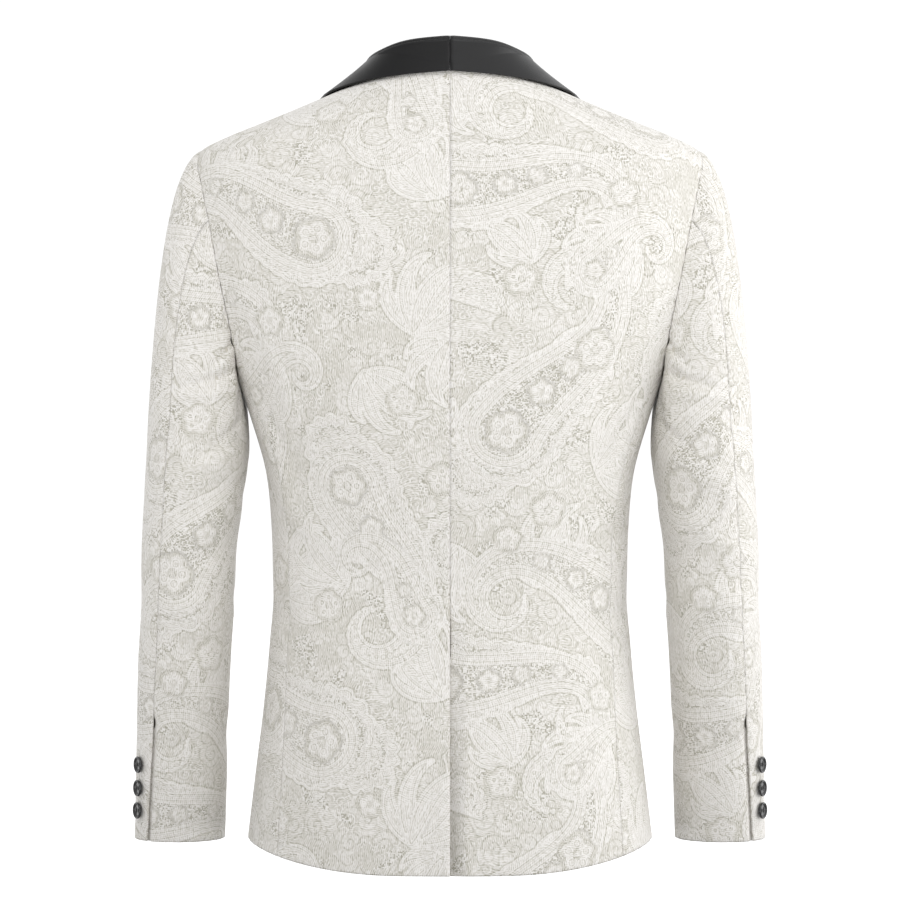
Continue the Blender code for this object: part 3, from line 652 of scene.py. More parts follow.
def sleeve_head(side, angle, share):
    """Between the armhole (share 0) and the biceps ring (share 1)."""
    loop = armhole(angle)
    inner = loop + TO_MIDDLE * (np.array([ARMHOLE_MID_TURN, ARMHOLE_MID_Z]) - loop)
    turn, z = loop[..., 0], loop[..., 1]
    away = unit(smooth_body(inner[..., 0], inner[..., 1]) - smooth_body(turn, z))
    lower = 0.5 * (1 - np.cos(np.radians(angle)))[..., None]
    start = (
        body_point(side, turn, z) * (side, 1, 1)
        + SLEEVE_GAP * (1 - 0.5 * lower) * away
        + UNDERARM_DROP * SLEEVE_GAP * lower * body_normal(turn, z)
    )
    end = sleeve_ring(angle, np.full(np.shape(angle), SLEEVE[0].z))
    span = np.linalg.norm(end - start, axis=-1, keepdims=True)
    rise = np.radians(HEAD_RISE + (UNDERARM_RISE - HEAD_RISE) * lower)
    leave = np.concatenate(
        [np.cos(rise), HEAD_SPREAD * np.sin(np.radians(angle))[..., None], -np.sin(rise)], -1
    )
    leave = leave * span * (HEAD_PULL + (UNDERARM_PULL - HEAD_PULL) * lower)
    arrive = span * RING_PULL * np.array([RING_LEAN, 0, -1])
    return cubic(np.asarray(share)[..., None], start, leave, end, arrive)


def sleeve_axis(z):
    return points_of(read(SLEEVE, "x", z), read(SLEEVE, "y", z), z)


def sleeve_grid(side, under):
    """Points of the topsleeve or the undersleeve, from the cuff up to the armhole."""
    columns = UNDERSLEEVE_COLUMNS if under else TOPSLEEVE_COLUMNS
    head_rows = UNDERSLEEVE_HEAD_ROWS if under else TOPSLEEVE_HEAD_ROWS
    rows = ARM_ROWS + head_rows
    points = np.zeros((rows + 1, columns + 1, 3))
    share = even(columns)
    head_height = ARMHOLE_MID_Z + ARMHOLE_HALF_HEIGHT - SLEEVE[0].z
    levels = SLEEVE[-1].z + (SLEEVE[0].z - SLEEVE[-1].z) * even(ARM_ROWS)
    head_shares = 1 - even(head_rows)
    creases = [crease for crease in SLEEVE_CREASES if crease.side in (0, side)]
    for row in range(rows + 1):
        in_head = row > ARM_ROWS
        head_share = head_shares[max(row - ARM_ROWS, 0)]
        z = levels[min(row, ARM_ROWS)]
        seam_z = SLEEVE[0].z + (1 - head_share) * head_height if in_head else z
        back, front = read(SLEEVE_SEAMS, "back", seam_z), read(SLEEVE_SEAMS, "front", seam_z)
        below = ease((SLIT_TOP_Z - z) / SLIT_RUN_IN)
        if under:
            angle = (back - SLIT_UNDERLAP * below) * (1 - share) + front * share
        else:
            angle = (front - 360) * (1 - share) + back * share
        if in_head:
            line = sleeve_head(side, angle, np.full(angle.shape, head_share))
        else:
            line = sleeve_ring(angle, np.full(angle.shape, z))
        centre = sleeve_axis(line[:, 2])
        out = unit((line - centre) * LEVEL)
        calm = ease((SLEEVE_FOLDS_Z - line[:, 2]) / SLEEVE_FOLDS_RUN_IN)
        size = read(SLEEVE, "half_depth", line[:, 2]) * np.pi / 180
        swell = sum(
            fold_height((*SLEEVE_FOLDS, *creases), angle + around, line[:, 2], size)
            for around in (0, 360)
        )
        if under and not in_head:
            sunk = ease((back + SLIT_STEP - angle) / SLIT_STEP)
            sunk = sunk * ease((SLIT_TOP_Z + SLIT_SINK_RUN_IN - z) / SLIT_SINK_RUN_IN)
            swell = swell - (WALL + LAP_CLEAR) * sunk
        points[row] = line + (calm * swell)[:, None] * out
    return points * (side, 1, 1)


# The collar


def shawl_grid(side):
    """The underside of the collar: up the stand, over the roll and down the fall."""
    key = (len(SHAWL) - 1) * even(SHAWL_STATIONS)
    rows = range(len(SHAWL))
    row = {name: follow(rows, column(SHAWL, name), key) for name in Collar._fields}
    front = ease((key - FOLD_EASE_ROW) / FOLD_EASE_ROWS)[:, None]
    seam = smooth_body(row["neck_turn"], row["neck_z"])
    normal = body_normal(row["neck_turn"], row["neck_z"])
    tangent = unit(np.gradient(seam, key, axis=0))
    outward = unit(normal * LEVEL) * (1 - front) + normal * front
    outward = unit(outward - tangent * np.sum(outward * tangent, axis=1)[:, None])
    upward = np.cross(tangent, outward)
    radius = FOLD_BACK + (FOLD_FRONT - FOLD_BACK) * front
    foot = seam + FOOT_UP * upward - FOOT_IN * outward
    stand = np.maximum(row["stand"], LEAST_STAND)[:, None]
    top = foot + stand * (upward - STAND_LEAN * (1 - front) * outward)
    lines = [foot + share * (top - foot) for share in even(STAND_LINES)[:-1]]
    for angle in np.pi * even(ROLL_LINES - 1):
        lines.append(top + radius * (upward * np.sin(angle) + outward * (1 - np.cos(angle))))
    edge = smooth_body(row["edge_turn"], row["edge_z"])
    edge = edge + COLLAR_CLEAR * body_normal(row["edge_turn"], row["edge_z"])
    over = top + 2 * radius * outward
    for share in even(FALL_LINES)[1:]:
        line = over + share * (edge - over)
        off, way = out_of_body(line)
        least = COLLAR_CLEAR + ROLL_LIFT * (1 - share)
        lines.append(line + np.maximum(least - off, 0)[:, None] * way)
    return np.stack(lines) * (side, 1, 1)


# The woven pattern. One repeat is drawn as fields on a fine net, then read off all over.
# depth is how far a point is inside a motif, in mm, rays and speckle fill it, and plain is where
# it is left flat and dark, as round the flowers.


REPEAT_WIDTH, REPEAT_HEIGHT, PATTERN_STEP = 340.0, 460.0, 1.0
Paisley = namedtuple("Paisley", "x y bulb length heading curl sway fringe speckle hand")
PAISLEYS = table(
    Paisley,
    (92, 92, 35, 290, 62, 330, 52, 20, 1.0, 1),
    (262, 158, 31, 268, 288, -325, -48, 18, 0.4, -1),
    (50, 322, 30, 255, 352, -330, -50, 17, 0.9, -1),
    (240, 384, 34, 275, 168, 330, 50, 19, 0.7, 1),
    (318, 40, 18, 150, 118, 330, 34, 10, 0.9, 1),
    (166, 240, 17, 140, 40, -330, -30, 10, 0.6, -1),
)
Spray = namedtuple("Spray", "x y leaves width length heading fan curl")
SPRAYS = table(
    Spray,
    (184, 60, 6, 14, 96, 30, 150, 95),
    (206, 262, 6, 13, 84, 200, 150, -95),
    (140, 410, 6, 13, 88, 80, 140, 90),
    (330, 300, 6, 14, 92, 60, 150, 95),
    (6, 200, 6, 13, 84, 110, 140, -100),
    (286, 262, 5, 12, 74, 300, 120, 90),
    (128, 168, 5, 12, 78, 330, 140, -95),
    (60, 440, 5, 12, 72, 250, 140, 95),
    (250, 70, 5, 12, 76, 140, 130, -95),
    (20, 60, 5, 11, 66, 240, 130, 90),
    (110, 250, 5, 11, 66, 120, 130, 95),
)
Shell = namedtuple("Shell", "x y radius heading rays")
SHELLS = table(
    Shell,
    (70, 54, 37, 240, 8),
    (252, 194, 33, 104, 7),
    (14, 330, 33, 166, 7),
    (279, 374, 36, 342, 8),
    (176, 322, 27, 20, 6),
    (60, 214, 26, 70, 6),
)
Flower = namedtuple("Flower", "x y radius")
FLOWERS = table(
    Flower,
    (168, 168, 15),
    (28, 146, 11),
    (138, 20, 13),
    (100, 232, 12),
    (318, 236, 12),
    (198, 310, 11),
    (8, 392, 12),
    (238, 48, 12),
    (104, 452, 10),
    (290, 330, 9),
)
JUST_OUTSIDE = -0.1  # a depth at which a point is left out
HEART_FLOWERS = ((0.02, 0.42), (0.17, 0.32), (0.30, 0.30), (0.42, 0.30))
PETALS, FLOWER_RING, FLOWER_REACH, FLOWER_TURN, HEART_TURN = 5, 0.3, 1.7, 0.3, 0.4
# Rings of a shell, from its edge inwards: share of the radius, speckle and rays
SHELL_RINGS = ((1.0, 0.0, 0.0), (0.74, 1.0, 0.0), (0.54, 0.0, 1.0), (0.25, 0.0, 0.0))
SHELL_FOOT, SHELL_REACH = 7.0, 1.6
SPINE_STEPS, RIM_STEPS, CAP_STEPS, CURL_CROWD = 44, 260, 24, 2.2
SCALLOP, HATCH, BAND = 13.0, 6.0, 12.5
# A leaf: how much slimmer and shorter the outer ones are, and how far they curl back
LEAF_SLIMMER, LEAF_SHORTER, LEAF_BACK, LEAF_PLUMP, LEAF_TIP = 0.35, 1.3, 0.9, 0.7, 0.5
# and its outline: the stretch of a half wave that it follows, how blunt it is, and its taper
LEAF_FROM, LEAF_OVER, LEAF_CROWD, LEAF_BLUNT, LEAF_TAPER = 0.1, 0.84, 0.9, 0.7, 0.2
# A flower, as shares of its radius: where its petals lie, their size, and its heart and its ring
PETAL_AT, PETAL_SIZE, HEART, HEART_RING, HEART_LINE = 0.62, 0.42, 0.19, 0.25, 0.07
# A paisley: how fast it slims, the least flower in its heart, and its second fringe's share
SLIM_CROWD, SLIM_POWER, WAIST, TAIL = 1.1, 0.95, 0.10, 1.6
LEAST_HEART_FLOWER, RING_SHARE, SCALLOP_DEPTH, FRINGE_REACH = 4.5, 0.45, 0.24, 1.6
# Its fringe: full round the bulb and gone by the tail, in shares of its length, fuller on its
# outer side, and speckled
FRINGE_FULL, FRINGE_FADE, LEAST_FRINGE, FRINGE_SIDE, FRINGE_SPECKLE = 0.2, 0.5, 0.05, 60.0, 0.8
LOBE_DEPTH = 0.14  # of a shell's scallops
DOTS_RUN_IN, HEART_EDGE = 1.5, 0.5  # the dots' run-in, and how far it starts before a heart
# Where each panel is cut from the bolt, in mm
CUT = {
    "back_left": (-60, 40),
    "back_right": (120, 150),
    "side_left": (200, 260),
    "side_right": (30, 90),
    "front_left": (90, 10),
    "front_right": (250, 330),
    "topsleeve_left": (20, 190),
    "topsleeve_right": (240, 60),
    "undersleeve_left": (150, 300),
    "undersleeve_right": (70, 220),
}


def way_at(angle):
    return np.stack([np.cos(angle), np.sin(angle)], -1)


def spine(x, y, length, heading, curl, sway=0.0):
    """A line that curls up towards its end: its shares and its points."""
    share = np.linspace(0, 1, SPINE_STEPS)
    angle = np.radians(heading + curl * share**CURL_CROWD - sway * np.sin(np.pi * share))
    way = way_at(angle) * length / (SPINE_STEPS - 1)
    return share, np.array([x, y]) + np.concatenate([[(0, 0)], np.cumsum(way[:-1], axis=0)])


def swept(points, centres, radii):
    """How far points are inside a disc that is swept along the centres."""
    gaps = np.linalg.norm(points[:, None] - centres[None], axis=2)
    return np.max(radii[None] - gaps, axis=1)


def petals_at(x, y, radius, turn):
    angle = turn + 2 * np.pi * np.arange(PETALS) / PETALS
    return np.array([x, y]) + PETAL_AT * radius * way_at(angle)


def rim_of(centres, radii):
    """The outline of a swept disc, and how far each of its points is from the middle of its cap."""
    way = unit(np.gradient(centres, axis=0))
    side = np.stack([-way[:, 1], way[:, 0]], -1)
    left, right = centres + side * radii[:, None], centres - side * radii[:, None]
    turn = np.pi * (np.arange(CAP_STEPS) + 1)[:, None] / (CAP_STEPS + 1)
    cap = centres[0] + radii[0] * (side[0] * np.cos(turn) - way[0] * np.sin(turn))
    line = np.concatenate([left[::-1], cap, right])
    length = lengths(line)
    at = np.linspace(0, length[-1], RIM_STEPS)
    return read_line(line, length, at), at - length[len(left) + CAP_STEPS // 2]


class Repeat:
    """One repeat of the pattern, as fields on a net."""

    def __init__(self):
        x = np.arange(0, REPEAT_WIDTH + PATTERN_STEP, PATTERN_STEP)
        y = np.arange(0, REPEAT_HEIGHT + PATTERN_STEP, PATTERN_STEP)
        self.shape = (len(y), len(x))
        self.places = np.stack(np.meshgrid(x, y), -1).reshape(-1, 2)
        count = len(self.places)
        self.depth, self.rays = np.full(count, -BAND), np.zeros(count)
        self.speckle, self.plain = np.zeros(count), np.zeros(count)
        self.bare = np.ones(count, bool)
        for spray in SPRAYS:
            self.draw_spray(spray)
        for shell in SHELLS:
            self.draw_shell(shell)
        for paisley in PAISLEYS:
            self.draw_paisley(paisley)
        for flower in FLOWERS:
            for x, y in self.copies(flower.x, flower.y):
                self.draw_flower(x, y, flower.radius, FLOWER_TURN)

    def copies(self, x, y):
        """A motif's places in the repeats around, where each next column drops by half."""
        for across in (-1, 0, 1):
            for up in (-1, 0, 1):
                drop = 0.5 * REPEAT_HEIGHT * (across % 2)
                yield x + across * REPEAT_WIDTH, y + up * REPEAT_HEIGHT + drop

    def near(self, x, y, reach):
        return np.flatnonzero(np.hypot(*(self.places - (x, y)).T) < reach)

    def laid(self, x, y, reach):
        """Each copy's place with the points near it, where there are any."""
        for place in self.copies(x, y):
            at = self.near(*place, reach)
            if len(at):
                yield *place, at

    def paint(self, at, depth, rays=0.0, speckle=0.0, plain=0.0):
        """Lay a motif over what was drawn before, and keep the least distance where it is bare."""
        inside = depth > 0
        on, off = at[inside], at[~inside]
        self.depth[on] = depth[inside]
        self.rays[on] = np.broadcast_to(rays, depth.shape)[inside]
        self.speckle[on] = np.broadcast_to(speckle, depth.shape)[inside]
        self.plain[on] = plain
        self.bare[on] = False
        bare = self.bare[off]
        self.depth[off[bare]] = np.maximum(self.depth[off[bare]], depth[~inside][bare])

    def draw_spray(self, spray):
        order = sorted(range(spray.leaves), key=lambda leaf: -abs(leaf / (spray.leaves - 1) - 0.5))
        for leaf in order:
            aside = leaf / (spray.leaves - 1) - 0.5
            width = spray.width * (1 - LEAF_SLIMMER * abs(aside))
            length = spray.length * (1 - LEAF_SHORTER * aside**2)
            curl = spray.curl * (1 if spray.curl * aside <= 0 else -LEAF_BACK)
            heading = spray.heading + aside * spray.fan
            for x, y, at in self.laid(spray.x, spray.y, length + width):
                share, centres = spine(x, y, length, heading, curl)
                swell = np.sin(np.pi * (LEAF_FROM + LEAF_OVER * share**LEAF_CROWD)) ** LEAF_BLUNT
                radii = LEAF_PLUMP * width * swell * (1 - LEAF_TAPER * share) + LEAF_TIP
                self.paint(at, swept(self.places[at], centres, radii))

    def draw_shell(self, row):
        """Half a round of scallops, with rings of dots and rays inside it."""
        heading = np.radians(row.heading)
        for x, y, at in self.laid(row.x, row.y, SHELL_REACH * row.radius):
            away = self.places[at] - (x, y)
            gap = np.hypot(*away.T)
            angle = np.arctan2(away[:, 1], away[:, 0]) - heading
            foot = away @ way_at(heading)
            lobes = 1 - LOBE_DEPTH * (1 - np.abs(np.sin(row.rays * angle)))
            for size, speckle, rays in SHELL_RINGS:
                depth = np.minimum(size * row.radius * lobes - gap, foot + SHELL_FOOT * size)
                dots = speckle * ease((depth - DOTS_RUN_IN) / DOTS_RUN_IN)
                self.paint(at, depth, rays=rays * np.cos(2 * row.rays * angle), speckle=dots)

    def draw_flower(self, x, y, radius, turn):
        at = self.near(x, y, FLOWER_REACH * radius)
        if not len(at):
            return
        places = self.places[at]
        petals = np.full(PETALS, PETAL_SIZE * radius)
        depth = swept(places, petals_at(x, y, radius, turn), petals)
        heart = np.hypot(*(places - (x, y)).T)
        depth = np.where(heart < HEART * radius, HEART * radius - heart, depth)
        line = np.abs(heart - HEART_RING * radius) < HEART_LINE * radius
        depth = np.where(line, JUST_OUTSIDE, depth)
        self.paint(at, depth + FLOWER_RING * radius, plain=1.0)
        self.paint(at, depth)

    def draw_paisley(self, row):
        for x, y, at in self.laid(row.x, row.y, row.length + row.bulb + row.fringe):
            share, centres = spine(x, y, row.length, row.heading, row.curl, row.sway)
            slim = (1 - share**SLIM_CROWD) ** SLIM_POWER * (1 - WAIST * np.sin(np.pi * share))
            radii = row.bulb * slim + TAIL
            depth = swept(self.places[at], centres, radii)
            close = depth > -FRINGE_REACH * row.fringe
            at, depth = at[close], depth[close]
            if not len(at):
                continue
            rim, rim_at = rim_of(centres, radii)
            gaps = np.linalg.norm(self.places[at][:, None] - rim[None], axis=2)
            nearest = np.argmin(gaps, axis=1)
            place = rim_at[nearest]
            outer = ease(0.5 + place * row.hand / FRINGE_SIDE)
            fade = 1 - ease((np.abs(place) / row.length - FRINGE_FULL) / FRINGE_FADE)
            scallops = 1 - SCALLOP_DEPTH * (1 - np.abs(np.sin(np.pi * place / SCALLOP)))
            width = row.fringe * fade * (0.5 + 0.5 * outer) * scallops
            fringed = fade > LEAST_FRINGE
            ring = depth + RING_SHARE * width * fringed
            self.paint(at, depth + width * fringed)
            self.paint(at, ring, speckle=ease(ring - 1.0) * fringed * FRINGE_SPECKLE)
            rays = np.cos(2 * np.pi * place / HATCH) * (depth < BAND)
            speckle = row.speckle * ease((depth - BAND + HEART_EDGE) / DOTS_RUN_IN)
            self.paint(at, depth, rays=rays, speckle=speckle)
            for number, (spot, size) in enumerate(HEART_FLOWERS):
                step = int(spot * (SPINE_STEPS - 1))
                if size * radii[step] > LEAST_HEART_FLOWER:
                    self.draw_flower(*centres[step], size * radii[step], HEART_TURN * number)

    def read(self, lay):
        """The fields at places on the bolt, as the pieces' attributes."""
        column = np.floor(lay[..., 0] / REPEAT_WIDTH)
        x = (lay[..., 0] - column * REPEAT_WIDTH) / PATTERN_STEP
        drop = 0.5 * REPEAT_HEIGHT * np.mod(column, 2)
        y = np.mod(lay[..., 1] - drop, REPEAT_HEIGHT) / PATTERN_STEP
        j = np.minimum(x.astype(int), self.shape[1] - 2)
        i = np.minimum(y.astype(int), self.shape[0] - 2)
        t, s = x - j, y - i

        def sample(values):
            net = values.reshape(self.shape)
            low = (1 - t) * net[i, j] + t * net[i, j + 1]
            high = (1 - t) * net[i + 1, j] + t * net[i + 1, j + 1]
            return (1 - s) * low + s * high

        figure = [sample(values) for values in (self.depth, self.rays, self.speckle)]
        return {
            "figure": np.stack(figure, -1),
            "lay": np.stack([lay[..., 0], lay[..., 1], sample(self.plain)], -1),
        }


# Making the pieces

ALL_EDGES = ("first", "last", "bottom", "top")


def mesh_of(name, work):
    """The bmesh as a smooth mesh."""
    mesh = bpy.data.meshes.new(name)
    work.to_mesh(mesh)
    work.free()
    mesh.shade_smooth()
    return mesh


def in_scene(name, data):
    """A new object, at the origin."""
    made = bpy.data.objects.new(name, data)
    bpy.context.scene.collection.objects.link(made)
    return made


def worn(name, data):
    """A new piece of the jacket, which rides on its one body."""
    piece = in_scene(name, data)
    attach(piece, "root")
    return piece


def normals_of(points, at, outward):
    """Unit normals of a grid of points, on the side that outward shows at (row, column)."""
    made = unit(np.cross(np.gradient(points, axis=1), np.gradient(points, axis=0)))
    return made * np.sign(np.dot(made[at], outward))


def along(points, axis):
    """How far each point is from the first one of its row (axis 1) or column (axis 0)."""
    steps = np.linalg.norm(np.diff(points, axis=axis), axis=2)
    start = np.zeros_like(np.take(steps, [0], axis=axis))
    return np.concatenate([start, np.cumsum(steps, axis=axis)], axis=axis)


def seam_relief(points, edges, calm):
    """How far the cloth dips beside its named edges, with small puckers along them."""
    across, up = along(points, 1), along(points, 0)
    gaps = {
        "first": (across, up),
        "last": (across[:, -1:] - across, up),
        "bottom": (up, across),
        "top": (up[-1:] - up, across),
    }
    relief = np.zeros(points.shape[:2])
    for edge in edges:
        gap, place = gaps[edge]
        drift = PUCKER_DRIFT * np.sin(place / PUCKER_DRIFT_LENGTH)
        wave = np.sin(2 * np.pi * place / PUCKER_LENGTH + drift)
        dip = SEAM_DIP * np.exp(-((gap / SEAM_DIP_REACH) ** 2))
        if edge in calm:
            dip = dip * ease((calm[edge] - points[..., 2]) / CALM_RUN_IN)
        relief += PUCKER * wave * np.exp(-((gap / PUCKER_REACH) ** 2)) - dip
    return relief


def inset(points, amount):
    """The grid with each edge moved in a little, so that neighbours don't touch."""
    moved = points.copy()
    for edge, inner in ((0, 1), (-1, -2)):
        moved[edge] += amount * unit(points[inner] - points[edge])
        moved[:, edge] += amount * unit(points[:, inner] - points[:, edge])
    return moved


def laid_flat(points, outward_turns):
    """The cloth laid out flat, as (across, up) in mm for each point.

    A coarse net of the piece starts from its lengths along the rows and columns, and its links
    are pulled until each has its real length.
    """
    net = points[::NET_STEP, ::NET_STEP]
    middle = net.shape[1] // 2
    across, up = along(net, 1), along(net, 0)
    flat = np.stack([across - across[:, middle : middle + 1], up], -1)
    rows, columns = net.shape[:2]
    links = []
    for down, right in ((0, 1), (1, 0), (1, 1), (1, -1)):
        left = max(-right, 0)
        first = (slice(0, rows - down), slice(left, columns - max(right, 0)))
        second = (slice(down, rows), slice(left + right, columns - max(right, 0) + right))
        links.append((first, second, np.linalg.norm(net[second] - net[first], axis=2)))
    for _ in range(FLAT_ROUNDS):
        move, met = np.zeros_like(flat), np.zeros((rows, columns, 1))
        for first, second, length in links:
            gap = flat[second] - flat[first]
            size = np.linalg.norm(gap, axis=2)
            push = (0.5 * (1 - length / size))[..., None] * gap
            move[first] += push
            move[second] -= push
            met[first] += 1
            met[second] += 1
        flat += FLAT_PULL * move / met
    lean = flat[-1, middle] - flat[0, middle]
    turn = np.arctan2(lean[0], lean[1])
    spin = np.array([[np.cos(turn), np.sin(turn)], [-np.sin(turn), np.cos(turn)]])
    return (flat @ spin) * (outward_turns, 1)


def spread(values, shape):
    """Values of the coarse net read at every point of the fine grid."""
    rows = np.arange(shape[0]) / NET_STEP
    columns = np.arange(shape[1]) / NET_STEP
    i = np.minimum(rows.astype(int), values.shape[0] - 2)
    j = np.minimum(columns.astype(int), values.shape[1] - 2)
    s, t = (rows - i)[:, None, None], (columns - j)[None, :, None]
    corner = [values[i + a][:, j + b] for a in (0, 1) for b in (0, 1)]
    return (1 - s) * ((1 - t) * corner[0] + t * corner[1]) + s * (
        (1 - t) * corner[2] + t * corner[3]
    )


def shell(name, outer, inner, finishes, fields):
    """A closed piece of cloth: a fine outer face, a coarser inner face and a rim between."""
    work = bmesh.new()
    borders = []
    for points, finish in ((outer, 0), (inner, 1)):
        rows, columns = points.shape[:2]
        before = len(work.faces)
        made = bmesh.ops.create_grid(work, x_segments=columns - 1, y_segments=rows - 1, size=1.0)
        for vert, place in zip(made["verts"], points.reshape(-1, 3) * MM):
            vert.co = place
        work.faces.ensure_lookup_table()
        for face in work.faces[before:]:
            face.material_index = finish
        net = np.array(made["verts"], dtype=object).reshape(rows, columns)
        borders.append([
            [work.edges.get(pair) for pair in zip(line, line[1:])]
            for line in (net[0], net[-1], net[:, 0], net[:, -1])
        ])
    for outer_edges, inner_edges in zip(*borders):
        bmesh.ops.bridge_loops(work, edges=outer_edges + inner_edges)
    bmesh.ops.recalc_face_normals(work, faces=work.faces)
    mesh = mesh_of(name, work)
    for finish in finishes:
        mesh.materials.append(finish)
    for title, values in fields.items():
        values = np.concatenate([
            values.reshape(-1, 3),
            values[::INNER_STEP, ::INNER_STEP].reshape(-1, 3),
        ])
        attribute = mesh.attributes.new(title, "FLOAT_VECTOR", "POINT")
        attribute.data.foreach_set("vector", values.astype(np.float32).ravel())
    return mesh


def cloth(
    node, points, at, outward, finishes, repeat=None, edges=ALL_EDGES, calm=(),
    held="draped", thicken_out=False,
):
    """A fine shell in place of a CAD node, laid out flat and woven."""
    normals = normals_of(points, at, outward)
    if thicken_out:
        points = points + WALL * normals
    relief = seam_relief(points, edges, calm)
    outer = inset(points + relief[..., None] * normals, SEAM_INSET)
    inner = (inset(points, SEAM_INSET + INNER_INSET) - WALL * normals)[::INNER_STEP, ::INNER_STEP]
    row, place = at
    across = points[row, place + 1] - points[row, place]
    up = points[row + 1, place] - points[row, place]
    flat = laid_flat(points, np.sign(np.dot(np.cross(across, up), outward)))
    if held == "folded":
        size = np.array([along(points, 0)[-1].max(), along(points, 1)[:, -1].max()])
    else:
        size = flat.reshape(-1, 2).max(axis=0) - flat.reshape(-1, 2).min(axis=0)
    fields = repeat.read(spread(flat, points.shape[:2]) + CUT[node]) if repeat else {}
    name = f"{node}_cloth"
    piece = worn(name, shell(name, outer, inner, finishes, fields))
    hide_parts(node)


# The finishes


class Nodes:
    """A node tree whose nodes are added one after another."""

    def __init__(self, tree):
        self.tree = tree

    def add(self, kind, *feeds, out=0, **settings):
        """A node. Each feed goes to the input in its place: a socket is linked, a value set."""
        node = self.tree.nodes.new("ShaderNode" + kind)
        for setting, value in settings.items():
            setattr(node, setting, value)
        for place, feed in enumerate(feeds):
            if isinstance(feed, bpy.types.NodeSocket):
                self.tree.links.new(feed, node.inputs[place])
            elif feed is not None:
                node.inputs[place].default_value = feed
        return node.outputs[out]

    def math(self, operation, *feeds, clamp=False):
        return self.add("Math", *feeds, operation=operation, use_clamp=clamp)

    def fit(self, value, low, high, to_low=0.0, to_high=1.0, smooth=False):
        kind = "SMOOTHSTEP" if smooth else "LINEAR"
        return self.add("MapRange", value, low, high, to_low, to_high, interpolation_type=kind)


class Finish(Nodes):
    """A material of one shader."""

    def __init__(self, name, **sockets):
        self.made = bpy.data.materials.new(name)
        self.made.use_nodes = True
        super().__init__(self.made.node_tree)
        self.shader = self.tree.nodes["Principled BSDF"]
        for socket, value in sockets.items():
            self.shader.inputs[socket.replace("_", " ")].default_value = value

    def ramp(self, value, stops, interpolation="LINEAR"):
        """A colour ramp. Stops are (place, grey) or (place, colour)."""
        colour = self.add("ValToRGB", value)
        ramp = colour.node.color_ramp
        ramp.interpolation = interpolation
        while len(ramp.elements) < len(stops):
            ramp.elements.new(1.0)
        for element, (place, tone) in zip(ramp.elements, stops):
            element.position = place
            element.color = (*(tone if isinstance(tone, tuple) else (tone,) * 3), 1)
        return colour

    def clouds(self, scale, detail):
        """Soft noise over the piece."""
        return self.add("TexNoise", self.add("TexCoord", out=3), None, scale, detail)

    def mix(self, share, first, second):
        return self.add("Mix", share, None, first, second)

    def link(self, value, socket):
        self.tree.links.new(value, self.shader.inputs[socket])

    def bump(self, height, strength, distance):
        self.link(self.add("Bump", strength, distance, None, height), "Normal")


BANDS_FROM, BANDS_TO = -2.0, 14.0
# How light a motif is woven, by how far inside its edge, in mm
Band = namedtuple("Band", "depth tone")
BANDS = table(
    Band,
    (0.0, 0.34),
    (0.7, 0.90),
    (2.6, 0.86),
    (3.2, 0.58),
    (3.8, 0.58),
    (4.4, 0.80),
    (8.6, 0.80),
    (9.2, 0.54),
    (9.8, 0.54),
    (10.4, 0.90),
    (12.0, 0.90),
    (12.6, 0.48),
    (13.2, 0.54),
    (14.0, 0.72),
)
OUTLINE = table(Band, (-2.0, 1.0), (-1.4, 1.0), (-0.9, 0.5), (-0.3, 0.5), (0.2, 1.0))
TONES = (
    (0.0, (0.405, 0.388, 0.325)),
    (0.25, (0.585, 0.566, 0.505)),
    (0.75, (0.745, 0.722, 0.683)),
    (1.0, (0.84, 0.82, 0.795)),
)
# Sizes of the woven detail, in mm
PUFF, PUFF_PITCH, FINE_SCROLL, FINE_PITCH = 19.0, 6.4, 9.0, 3.8
SPECK, RIB, RIB_WAVE, PATCH = 1.3, 1.9, 18.0, 38.0
FLOAT_WIDTH, FLOAT_LENGTH = 0.95, 2.0
RIB_FOLLOW, RIB_SWAY = 0.25, 0.6  # the ribs bend with the motifs' edges, and sway
SCROLL_SPREAD, SCROLL_START = 0.85, 20.0  # how unlike each other the scrolls are
PLAIN_TONE, RIB_TONE, FLOAT_TONE, CONTOUR_TONE = 0.40, 0.20, 0.52, 0.17
# Where each kind of ground sets in, in its own patches of noise
PUFFS_AT, PLAIN_AT, DOTS_AT, ACROSS_AT = (0.44, 0.46), (0.41, 0.40), (0.60, 0.61), (0.55, 0.56)
# From two readings to two tones: over the scrolls' waves, and at the rims of the puffs
PUFF_TONES, FINE_TONES = (-0.98, -0.5, 0.42, 0.72), (0.2, 0.75, 0.44, 0.88)
PUFF_RIM_TONES, PUFF_SPREAD, GROUND_PLAIN_TONE = (0.1, 1.2, 0.70, 1.0), 0.10, 0.50
DOTS = ((0.0, 0.0), (0.28, 1.0), (0.62, 0.6))  # the chance from which a dot has a tone
RAY_SHADE, MOTIF_EDGE, CONTOUR_RUN_IN = 0.24, 0.35, 0.8
# Collar halves: the right is lighter and glossier, a painted highlight, and the left is darker,
# painted shade
SATIN_LEFT_PAINTED_SHADE, SATIN_RIGHT_PAINTED_HIGHLIGHT = (0.25, 0.0085), (0.37, 0.012)  # gloss and base tone
TWILL_TURN, TWILL_SCALE = (0.0, 0.6, 0.5), 1400.0
# Scale and detail of the soft noise over each finish
SATIN_CLOUDS, LINING_CLOUDS, SCUFFS, STRANDS = (38.0, 3.0), (20.0, 3.0), (260.0, 4.0), (2200.0, 2.0)
BLACK, IVORY = (0.012, 0.012, 0.012), (0.66, 0.64, 0.59)


